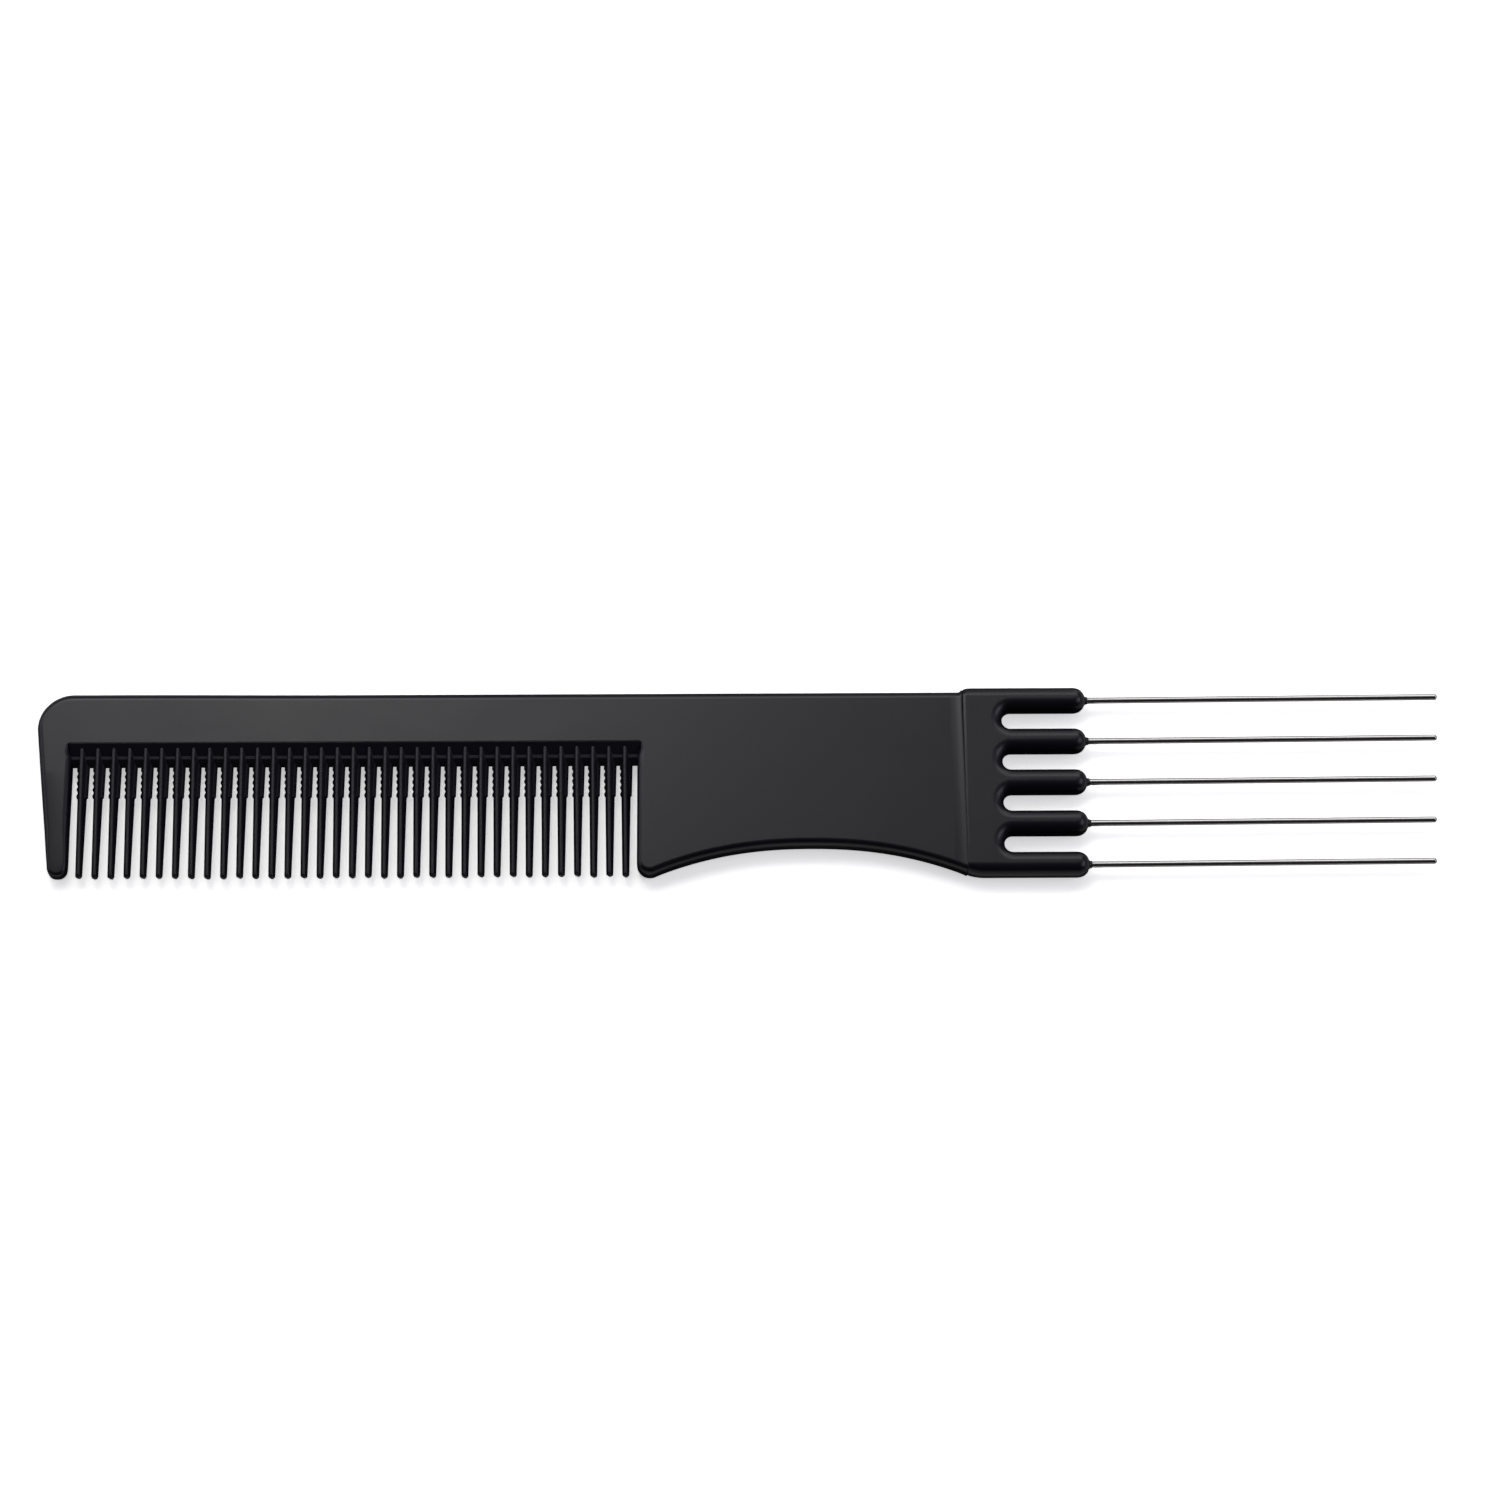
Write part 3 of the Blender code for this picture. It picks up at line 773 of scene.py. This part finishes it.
@dataclass
class Prongs:
    """The steel prongs: straight wires with domed tips.

    Attributes:
        lines: Height of each finger's centre line.
        nose_tip: Place of the finger noses' ends.
    """

    lines: Array
    nose_tip: float
    radius: float = 0.43
    exposed: float = 48.7
    length_step: float = 0.33
    buried: float = 14.5
    lean: float = math.radians(0.39)
    dome: float = 0.34
    dome_end_share: float = 0.98
    dome_stations: int = 10
    wire_stations: int = 60
    sides: int = 40

    def turned(self, stations: Array, radii: Array, line: float) -> Array:
        """Rings about a prong's axis, which leaves the nose at its tip and leans towards the spine.

        Args:
            stations: Distances along the axis from the nose's tip.
            radii: The rings' radii.
            line: Height of the finger's centre line.

        Returns:
            Points, (ring, point on the ring, 3).
        """
        turn = np.linspace(0.0, 2 * math.pi, self.sides, endpoint=False)
        across, up = radii[:, None] * np.cos(turn), radii[:, None] * np.sin(turn)
        x = self.nose_tip + stations[:, None] * math.cos(self.lean) - across * math.sin(self.lean)
        y = line + stations[:, None] * math.sin(self.lean) + across * math.cos(self.lean)
        return joined(x, y, up)

    def build(self, datum: Datum) -> list[Piece]:
        """Makes one wire for each finger, from its tail to the end of its dome.

        With t from 0 to a quarter turn, the dome's radius is radius * cos t, dome * sin t past the wire.

        Args:
            datum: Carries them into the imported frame.

        Returns:
            The wires, from the lowest finger's to the highest's.
        """
        wires = []
        t = np.linspace(0.0, self.dome_end_share * math.pi / 2, self.dome_stations)[1:]
        radii = self.radius * np.concatenate([np.ones(self.wire_stations), np.cos(t)])
        for number, line in enumerate(self.lines, start=1):
            end = self.exposed + (number - (len(self.lines) + 1) / 2) * self.length_step - self.dome
            wire = np.linspace(-self.buried, end, self.wire_stations)
            surface = Surface()
            surface.loft(self.turned(np.concatenate([wire, end + self.dome * np.sin(t)]), radii, line))
            wires.append(surface.build(f"prong_wire_{number}", datum))
        return wires


@dataclass
class ForkHead(Moulding):
    """The fork head: a flat block behind the seam, five round fingers with bullet noses, and wire collars."""

    rim: Rim = Rim(steps=16)
    finger_count: int = 5
    finger_pitch: float = 6.01
    finger_half_width: float = 1.73
    nose_tip: float = 17.08
    nose_length: float = 1.8
    nose_power: float = 2.2
    nose_points: int = 41
    nose_flat: float = 0.2
    nose_flat_power: float = 2.0
    slot_root: float = 5.4
    slot_radius: float = 1.15
    slot_steps: int = 14
    half_thickness: float = 1.9
    edge_radius: float = 1.6
    top_run_up: float = 0.9
    heel_run_up: float = 2.6
    run_up_points: int = 12
    collar_radius: float = 0.54
    collar_length: float = 0.38
    collar_length_shares: tuple[float, ...] = (-1.4, -0.4, 0.0, 0.3, 0.6, 0.82, 0.95, 1.0, 1.0)
    collar_radius_shares: tuple[float, ...] = (1.9, 1.35, 1.1, 1.0, 1.0, 0.96, 0.89, 0.8, 0.5)

    @property
    def lines(self) -> Array:
        """Heights of the fingers' centre lines."""
        return (np.arange(self.finger_count) - (self.finger_count - 1) / 2) * self.finger_pitch

    @property
    def straight(self) -> float:
        """Place where the fingers end and their noses begin."""
        return self.nose_tip - self.nose_length

    def path(self) -> Path:
        """Walks the outline from the seam's foot round each finger to the seam's top.

        Returns:
            The outline.
        """
        half = self.finger_half_width
        edge = self.lines[-1] + half
        runs = {"heel": self.run_up(self.seam.foot, -edge, self.heel_run_up)}
        for number, line in enumerate(self.lines):
            runs[f"nose_{number}"] = self.nose(line, self.nose_length, half, self.nose_power)
            if number < self.finger_count - 1:
                near, far = line + half, line + self.finger_pitch - half
                slot = corners((self.straight, near), (self.slot_root, near),
                               (self.slot_root, far), (self.straight, far))
                runs[f"slot_{number}"] = np.concatenate(
                    [round_corner(*ends, self.slot_radius, self.slot_steps) for ends in (slot[:3], slot[1:])])
        runs["shoulder"] = self.run_up(self.seam.top, edge, self.top_run_up)[::-1]
        return Path(runs)

    def run_up(self, start: float, edge: float, length: float) -> Array:
        """Outline from the seam to the full width: the rise left goes with the square of the run left.

        Args:
            start: Height of the outline on the seam.
            edge: Height of the outline at full width.
            length: How far the run-up reaches from the seam.

        Returns:
            Points, (n, 2), the first of them on the seam's broken edge.
        """
        away = self.seam.distances()
        away = np.concatenate([away, np.linspace(away[-1], length, self.run_up_points)[1:]])
        left = 1.0 - (away - away[0]) / (length - away[0])
        return joined(away + self.seam.line(start) * left, edge + (start - edge) * left**2)

    def nose(self, line: float, length: float, half: float, power: float) -> Array:
        """Outline of a nose: a superellipse. Its shares of length and half width, to a power, add to one.

        Args:
            line: Height of the finger's centre line.
            length: The nose's length.
            half: Half its width.
            power: The superellipse's power.

        Returns:
            Points, (n, 2), from the nose's foot round its tip.
        """
        turn = np.linspace(-math.pi / 2, math.pi / 2, self.nose_points)
        ahead = np.clip(np.cos(turn), 0.0, 1.0) ** (2.0 / power)
        aside = np.sign(np.sin(turn)) * np.abs(np.sin(turn)) ** (2.0 / power)
        return joined(self.straight + length * ahead, line + half * aside)

    def shell(self, surface: Surface) -> None:
        """Adds the moulding's skin: rim, two flat faces, and the broken edges on the seam.

        Args:
            surface: Takes the faces.
        """
        path = self.path()
        points = path.points
        inner = points - path.mitres() * self.edge_radius
        flat_half = self.finger_half_width - self.edge_radius
        for name in ("heel", "shoulder"):
            run = path.span(name)
            inner[run] = joined(points[run, 0], np.sign(points[run, 1]) * (self.lines[-1] + flat_half))
        for number, line in enumerate(self.lines):
            flat_nose = self.nose(line, self.nose_flat, flat_half, self.nose_flat_power)
            inner[path.span(f"nose_{number}")] = flat_nose
        radius, thickness = (np.full(len(points), value) for value in (self.edge_radius, self.half_thickness))
        count = len(self.seam.drops)
        for face in self.skin(surface, points, inner, radius, thickness):
            surface.cap(face[count - 1:len(face) - count + 1])
            surface.quads(np.stack([face[:count], face[::-1][:count]]))

    def collars(self, surface: Surface, prongs: Prongs) -> None:
        """Adds the small collar that each wire leaves the nose through, turned about the wire.

        Args:
            surface: Takes the faces.
            prongs: The wires.
        """
        stations = self.collar_length * np.array(self.collar_length_shares)
        radii = self.collar_radius * np.array(self.collar_radius_shares)
        for line in self.lines:
            surface.loft(prongs.turned(stations, radii, line))

    def build(self, datum: Datum, prongs: Prongs) -> list[Piece]:
        """Makes the fork head.

        Args:
            datum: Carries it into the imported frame.
            prongs: The wires.

        Returns:
            The head with its collars, as one piece.
        """
        surface = Surface()
        self.shell(surface)
        self.collars(surface, prongs)
        return [surface.build("fork_head_moulding", datum)]


@dataclass
class Graph:
    """Adds nodes to a node tree and links their sockets.

    Attributes:
        tree: The tree.
    """

    # Places of the colours among a Mix node's inputs and outputs.
    MIX_COLOURS = (6, 7)
    MIX_RESULT = 2

    tree: Tree

    def feed(self, socket: Socket, value: object) -> None:
        """Feeds an input.

        Args:
            socket: The input.
            value: The output that it is linked to, or its value. A colour has three numbers.
        """
        if isinstance(value, Socket):
            self.tree.links.new(value, socket)
        else:
            socket.default_value = (*value, 1.0) if socket.type == "RGBA" else value

    def node(self, kind: str, inputs: dict | None = None, **settings: object) -> bpy.types.Node:
        """Adds a node.

        Args:
            kind: Blender's name for its type, without ShaderNode.
            inputs: What feeds its inputs, by name or number.
            settings: Properties of the node.

        Returns:
            The node.
        """
        made = self.tree.nodes.new(f"ShaderNode{kind}")
        for name, value in settings.items():
            setattr(made, name, value)
        for socket, value in (inputs or {}).items():
            self.feed(made.inputs[socket], value)
        return made

    def output(self, kind: str, inputs: dict | None = None, **settings: object) -> Socket:
        """Adds a node as above, and returns its first output."""
        return self.node(kind, inputs, **settings).outputs[0]

    def math(self, operation: str, first: object, second: object, clamp: bool = False) -> Socket:
        """Adds a Math node on two sockets or numbers, and returns its output."""
        return self.output("Math", {0: first, 1: second}, operation=operation, use_clamp=clamp)

    def noise(self, place: Socket, scale: float, detail: float, stretch: Triple = (1.0, 1.0, 1.0),
              roughness: float = 0.55) -> Socket:
        """Noise on stretched coordinates, as a value about 0.5."""
        stretched = self.output("Mapping", {"Vector": place, "Scale": stretch})
        return self.output(
            "TexNoise", {"Vector": stretched, "Scale": scale, "Detail": detail, "Roughness": roughness})

    def blend(self, factor: Socket, first: object, second: object) -> Socket:
        """Mixes two colours, each a socket or a colour, and returns the result."""
        colours = dict(zip(self.MIX_COLOURS, (first, second)))
        return self.node("Mix", {"Factor": factor} | colours, data_type="RGBA").outputs[self.MIX_RESULT]

    def glowing(self, tone: Triple, strength: Socket) -> Socket:
        """A dull surface of a tone that gives off white light as well."""
        dull = self.output("BsdfDiffuse", {"Color": tone})
        return self.output("AddShader", {0: dull, 1: self.output("Emission", {"Strength": strength})})

    def end(self, kind: str, hidden: Socket, seen: Socket) -> None:
        """Ends the tree in an output node of a kind: the camera sees one shader, and other rays the other."""
        at_camera = self.node("LightPath").outputs["Is Camera Ray"]
        self.node(kind, {"Surface": self.output("MixShader", {0: at_camera, 1: hidden, 2: seen})})


def new_group(name: str, colours: tuple[str, ...], values: tuple[str, ...]) -> tuple[Graph, Sockets, Sockets]:
    """Starts a shader node group that puts out a colour, a roughness and a height.

    Args:
        name: Name of the group.
        colours: Names of the inputs that are colours.
        values: Names of the inputs that are numbers.

    Returns:
        The group's graph, its inputs and its outputs, both by name.
    """
    tree = bpy.data.node_groups.new(name, "ShaderNodeTree")
    for side, kind, labels in (
        ("INPUT", "Color", colours), ("INPUT", "Float", values),
        ("OUTPUT", "Color", ("Color",)), ("OUTPUT", "Float", ("Roughness", "Height")),
    ):
        for label in labels:
            tree.interface.new_socket(label, in_out=side, socket_type=f"NodeSocket{kind}")
    return Graph(tree), tree.nodes.new("NodeGroupInput").outputs, tree.nodes.new("NodeGroupOutput").inputs


def moulded_skin_group() -> Tree:
    """Skin of moulded plastic: drifting tint, handled patches, fine grain and a rubbed parting line.

    The rubbed line's lighter colour is partly wear and partly a painted highlight.

    Returns:
        The group.
    """
    rubbed_roughness, hairline_height, noise_mean = 0.06, 0.5, 0.5
    graph, given, result = new_group(
        "moulded_skin", ("Colour", "Cool Colour", "Rubbed And Highlight Colour"), ("Rubbed", "Roughness", "Patches"))
    place = graph.node("TexCoord").outputs["Object"]
    drift = graph.noise(place, scale=22.0, detail=2.0)
    grain = graph.noise(place, scale=5200.0, detail=3.0)
    handled = graph.noise(place, scale=90.0, detail=4.0, stretch=(1.0, 1.6, 1.0))
    hairlines = graph.noise(place, scale=900.0, detail=2.0, stretch=(0.05, 1.0, 1.0))
    tint = graph.blend(drift, given["Colour"], given["Cool Colour"])
    # The rubbed line's lighter colour is partly wear and partly a painted highlight.
    graph.feed(result["Color"], graph.blend(given["Rubbed"], tint, given["Rubbed And Highlight Colour"]))
    spread = graph.math("MULTIPLY", graph.math("SUBTRACT", handled, noise_mean), given["Patches"])
    rubbed = graph.math("MULTIPLY", given["Rubbed"], rubbed_roughness)
    patched = graph.math("ADD", given["Roughness"], spread)
    graph.feed(result["Roughness"], graph.math("ADD", patched, rubbed, clamp=True))
    graph.feed(result["Height"], graph.math("ADD", grain, graph.math("MULTIPLY", hairlines, hairline_height)))
    return graph.tree


def drawn_wire_group() -> Tree:
    """Skin of drawn wire: fine lines along the wire, and dull patches where it has been handled.

    Returns:
        The group.
    """
    line_roughness, noise_mean = 0.05, 0.5
    graph, given, result = new_group("drawn_wire", ("Colour", "Dull Colour"), ("Roughness",))
    place = graph.node("TexCoord").outputs["Object"]
    lines = graph.noise(place, scale=7000.0, detail=2.0, stretch=(0.01, 1.0, 1.0))
    dull = graph.noise(place, scale=260.0, detail=3.0, stretch=(0.5, 1.0, 1.0))
    graph.feed(result["Color"], graph.blend(dull, given["Colour"], given["Dull Colour"]))
    swing = graph.math("MULTIPLY", graph.math("SUBTRACT", lines, noise_mean), line_roughness)
    graph.feed(result["Roughness"], graph.math("ADD", given["Roughness"], swing, clamp=True))
    graph.feed(result["Height"], lines)
    return graph.tree


def finish_material(name: str, group: Tree, inputs: dict[str, object], marks: dict[str, str],
                    bump: float, constants: dict[str, float]) -> Material:
    """Makes a material whose colour, roughness and bump come from a node group.

    Args:
        name: Name of the material.
        group: The node group.
        inputs: Values of the group's inputs.
        marks: Attributes of the pieces that feed its other inputs.
        bump: Height of the bump, in metres.
        constants: Values set on the shader's own sockets.

    Returns:
        The material.
    """
    material = bpy.data.materials.new(name)
    material.use_nodes = True
    graph = Graph(material.node_tree)
    read = {socket: graph.node("Attribute", attribute_name=mark).outputs["Fac"]
            for socket, mark in marks.items()}
    skin = graph.node("Group", inputs | read, node_tree=group).outputs
    relief = graph.output("Bump", {"Strength": 1.0, "Distance": bump, "Height": skin["Height"]})
    varied = {"Base Color": skin["Color"], "Roughness": skin["Roughness"], "Normal": relief}
    shader = material.node_tree.nodes["Principled BSDF"]
    for socket, value in (constants | varied).items():
        graph.feed(shader.inputs[socket], value)
    return material


@dataclass(frozen=True)
class SatinPlastic:
    """Satin black moulded plastic."""

    name: str
    colour: Triple
    # Lightens the step's line: partly rubbed wear and partly a painted highlight.
    cool_colour: Triple
    rubbed_and_highlight_colour: Triple
    roughness: float
    patches: float = 0.12
    ior: float = 1.48
    grain: float = 0.0000006

    def material(self, group: Tree) -> Material:
        """Makes the material, with its parting line read from the pieces' rubbed attribute."""
        inputs = {"Colour": self.colour, "Cool Colour": self.cool_colour, "Rubbed And Highlight Colour": self.rubbed_and_highlight_colour,
                  "Roughness": self.roughness, "Patches": self.patches}
        return finish_material(self.name, group, inputs, {"Rubbed": "rubbed"}, self.grain, {"IOR": self.ior})


@dataclass(frozen=True)
class DrawnSteel:
    """Bright drawn steel wire."""

    name: str
    colour: Triple
    dull_colour: Triple
    roughness: float
    relief: float = 0.0000001

    def material(self, group: Tree) -> Material:
        """Makes the material."""
        inputs = {"Colour": self.colour, "Dull Colour": self.dull_colour, "Roughness": self.roughness}
        return finish_material(self.name, group, inputs, {}, self.relief, {"Metallic": 1.0})


@dataclass(frozen=True)
class Softbox:
    """A rectangular lamp that faces the comb.

    Attributes:
        name: Name of the lamp.
        place: Its centre, in metres.
        size: Its width and depth, in metres.
        radiance: Its brightness, where 1 is white.
        colour: Its tint.
    """

    name: str
    place: Triple
    size: tuple[float, float]
    radiance: float
    colour: Triple = (1.0, 1.0, 1.0)

    def hang(self) -> None:
        """Adds the lamp. An area lamp's power is its radiance times pi times its area."""
        lamp = bpy.data.lights.new(self.name, "AREA")
        lamp.shape = "RECTANGLE"
        lamp.size, lamp.size_y = self.size
        lamp.energy = self.radiance * math.pi * self.size[0] * self.size[1]
        lamp.color = self.colour
        holder = bpy.data.objects.new(self.name, lamp)
        holder.location = self.place
        holder.rotation_euler = (-Vector(self.place)).to_track_quat("-Z", "Y").to_euler()
        bpy.context.scene.collection.objects.link(holder)


@dataclass
class Studio:
    """Camera, table, lamps and surroundings, in metres.

    Attributes:
        focal_pixels: The lens's focal length, in pixels of the photograph.
        table_tone: Tone of the table that the camera sees.
        table_glow: The least light that it gives off there.
        backdrop_rise: How fast that light grows past the mat.
        painted_shade_tone: Grey of the dark mat near the comb, which throws light back on the comb: painted
            shade that stands for the comb's shadow on the table.
        painted_shade_middle: The mat's middle on the table.
        painted_shade_reach: Its half length, half width, and a height that plays no part.
        painted_shade_fade: How fast the mirrored table turns white past the mat.
        open_front: Front of the comb's lower edge.
        open_hollow: The finger hollow's middle, half length and depth.
        open_sharpness: How sharply the open floor begins.
        painted_floor_glow: How bright it is mirrored: painted light that stands for the lit table that the
        comb's lower edges mirror.
        wires_from: Where the table under the wires begins.
        painted_wires_glow: How bright that is mirrored: painted light for the lit table under the wires.
        surround: Strength of the room's own light.
    """

    frame_pixels: int = 1500
    focal_pixels: float = 4352.85
    sensor: float = 36.0
    clip_start: float = 0.01
    distance: float = 0.60717
    tilt: float = math.radians(19.0)
    roll: float = math.radians(-0.244)
    aim: Triple = (0.001535, 0.004941, 0.0019)
    table_half_size: float = 4.0
    table_tone: Triple = (1.6, 1.61, 1.51)
    table_glow: float = 0.53
    backdrop_rise: float = 0.2
    painted_shade_tone: Triple = (0.03, 0.03, 0.03)
    painted_shade_middle: Triple = (0.0, -0.045, 0.0)
    painted_shade_reach: Triple = (0.14, 0.0775, 1.0)
    painted_shade_fade: float = 2.7
    open_front: float = -0.0143
    open_hollow: Triple = (0.0099, 0.021, 0.0042)
    open_sharpness: float = 2000.0
    painted_floor_glow: float = 0.3
    wires_from: float = 0.05
    painted_wires_glow: float = 0.3
    surround: float = 0.02
    lamps: tuple[Softbox, ...] = (
        Softbox("overhead_softbox", (-0.05, 0.590, 0.679), (1.5, 0.415), 1.72, (1.0, 0.99, 1.06)),
        Softbox("fill_softbox", (0.0, 0.23, 0.87), (0.9, 0.42), 0.2, (0.98, 0.97, 1.12)),
        Softbox("back_softbox", (0.36, 0.95, 0.35), (0.5, 0.55), 1.0),
        Softbox("key_softbox", (-0.14, 0.345, 0.655), (0.20, 0.26), 3.4, (1.0, 1.0, 0.95)),
        Softbox("right_softbox", (0.737, -0.06, 0.516), (0.60, 0.45), 1.6, (0.96, 0.95, 1.15)),
        Softbox("left_softbox", (-0.78, 0.20, 0.42), (0.70, 0.45), 0.95, (0.95, 0.94, 1.15)),
    )

    def camera(self) -> None:
        """Adds the camera. It looks down at the aim, tilted towards the comb's back and rolled a little."""
        lens = bpy.data.cameras.new("camera")
        lens.sensor_width = self.sensor
        lens.lens = self.focal_pixels / self.frame_pixels * self.sensor
        lens.clip_start = self.clip_start
        camera = bpy.data.objects.new("camera", lens)
        turn = Matrix.Rotation(self.tilt, 4, "X") @ Matrix.Rotation(self.roll, 4, "Z")
        back = Matrix.Translation((0.0, 0.0, self.distance))
        camera.matrix_world = Matrix.Translation(self.aim) @ turn @ back
        bpy.context.scene.collection.objects.link(camera)
        bpy.context.scene.camera = camera

    def table(self) -> None:
        """Adds the table. The camera sees it white with the comb's shadow, and whiter far away.

        For the light that it throws back it is a dark mat near the comb: painted shade that stands for the
        comb's shadow on the table. Past the mat it is mirrored white. How far past it a place lies is its
        distance from the mat's middle, in shares of the mat's reach, less one.
        """
        half = self.table_half_size
        square = [(-half, -half, 0.0), (half, -half, 0.0), (half, half, 0.0), (-half, half, 0.0)]
        mesh = bpy.data.meshes.new("table")
        mesh.from_pydata(square, [], [(0, 1, 2, 3)])
        table = bpy.data.objects.new("table", mesh)
        bpy.context.scene.collection.objects.link(table)
        material = bpy.data.materials.new("table_white")
        material.use_nodes = True
        material.node_tree.nodes.clear()
        graph = Graph(material.node_tree)
        place = graph.node("TexCoord").outputs["Object"]
        on_painted_shade = {"Vector": place, "Location": self.painted_shade_middle, "Scale": self.painted_shade_reach}
        shares = graph.output("Mapping", on_painted_shade, vector_type="TEXTURE")
        length = graph.node("VectorMath", {0: shares}, operation="LENGTH").outputs["Value"]
        past = graph.math("SUBTRACT", length, 1.0)
        far = graph.math("MULTIPLY", past, self.painted_shade_fade, clamp=True)
        backdrop = graph.math("MULTIPLY", past, self.backdrop_rise, clamp=True)
        rays = graph.node("LightPath").outputs
        mirrored = graph.math("MAXIMUM", rays["Is Glossy Ray"], rays["Is Transmission Ray"])
        # The open floor's glow is painted light for the reflections in the comb's lower edges and in the
        # wires.
        shown = graph.math("MAXIMUM", far, self.painted_floor_light(graph, place))
        graph.end(
            "OutputMaterial",
            # The dark mat is painted shade: it stands for the comb's shadow on the table in the light thrown
            # back.
            hidden=graph.glowing(self.painted_shade_tone, graph.math("MULTIPLY", shown, mirrored)),
            seen=graph.glowing(self.table_tone, graph.math("MAXIMUM", backdrop, self.table_glow)),
        )
        mesh.materials.append(material)

    def painted_floor_light(self, graph: Graph, place: Socket) -> Socket:
        """How bright the table near the comb is mirrored: dim, and only where the comb leaves it open.

        The open floor begins in front of the comb's lower edge, which rises over the finger hollow by its
        depth times 1 less the square of the distance from the hollow's middle over its half length. This
        glow is painted light: it stands for the lit table that the comb's edges and the wires mirror.

        Args:
            graph: The table's material.
            place: Place on the table.

        Returns:
            The brightness, as a value.
        """
        middle, half_length, depth = self.open_hollow
        at = graph.node("SeparateXYZ", {0: place}).outputs
        share = graph.math("DIVIDE", graph.math("SUBTRACT", at["X"], middle), half_length)
        rise = graph.math("SUBTRACT", 1.0, graph.math("MULTIPLY", share, share), clamp=True)
        edge = graph.math("ADD", graph.math("MULTIPLY", rise, depth), self.open_front)
        ahead, beside = (
            graph.math("MULTIPLY", graph.math("SUBTRACT", more, less), self.open_sharpness, clamp=True)
            for more, less in ((edge, at["Y"]), (at["X"], self.wires_from)))
        body = graph.math("MULTIPLY", graph.math("MULTIPLY", ahead, self.painted_floor_glow),
                          graph.math("SUBTRACT", 1.0, beside))
        return graph.math("ADD", body, graph.math("MULTIPLY", beside, self.painted_wires_glow))

    def surroundings(self) -> None:
        """Sets a dark room that looks pale behind the table."""
        world = bpy.data.worlds.new("studio")
        world.use_nodes = True
        world.node_tree.nodes.clear()
        bpy.context.scene.world = world
        graph = Graph(world.node_tree)
        room = graph.output("Background", {"Strength": self.surround})
        graph.end("OutputWorld", hidden=room, seen=graph.output("Background"))

    def set_up(self) -> None:
        """Puts everything in place and keeps colours plain."""
        self.camera()
        self.table()
        self.surroundings()
        for lamp in self.lamps:
            lamp.hang()
        bpy.context.scene.view_settings.view_transform = "Standard"


def report(pieces: list[Piece], material: Material, nodes: list[str]) -> None:
    """Dresses pieces, has them ride on the comb's body in place of CAD nodes, and logs them.

    Args:
        pieces: The pieces.
        material: Their material.
        nodes: The CAD nodes that they stand for: one for all of them, or one for each.
    """
    for number, piece in enumerate(pieces):
        piece.data.materials.append(material)
        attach(piece, BODY)
        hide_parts(nodes[number] if len(nodes) > 1 else nodes[0])
        LOG.info("%s: %d faces", piece.name, len(piece.data.polygons))


def plain(box: tuple) -> list[list[float]]:
    """A box as plain lists of numbers."""
    return [[float(value) for value in corner] for corner in box]


def main() -> None:
    """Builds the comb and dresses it."""
    logging.basicConfig(level=logging.INFO, format="%(name)s %(message)s")
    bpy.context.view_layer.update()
    Studio().set_up()
    seam = Seam()
    datum = Datum.from_frame(clearance=0.3)
    comb, head = CombMoulding(seam), ForkHead(seam)
    prongs = Prongs(head.lines, head.nose_tip)
    skin, wire = moulded_skin_group(), drawn_wire_group()
    # The rubbed colours lighten the step's line: partly wear and partly a painted highlight.
    comb_plastic = SatinPlastic(
        "satin_black_comb", colour=(0.0068, 0.0065, 0.0095), cool_colour=(0.006, 0.0054, 0.0115),
        rubbed_and_highlight_colour=(0.04, 0.04, 0.042), roughness=0.32)
    head_plastic = SatinPlastic(
        "satin_black_head", colour=(0.006, 0.0061, 0.0085), cool_colour=(0.0054, 0.005, 0.0105),
        rubbed_and_highlight_colour=(0.03, 0.03, 0.032), roughness=0.34)
    steel = DrawnSteel(
        "bright_drawn_steel", colour=(0.64, 0.63, 0.605), dull_colour=(0.59, 0.58, 0.56), roughness=0.17)
    report(comb.build(datum), comb_plastic.material(skin), ["comb_body"])
    report(head.build(datum, prongs), head_plastic.material(skin), ["fork_head"])
    names = [f"prong_{number}" for number in range(1, head.finger_count + 1)]
    report(prongs.build(datum), steel.material(wire), names)


if __name__ == "__main__":
    main()
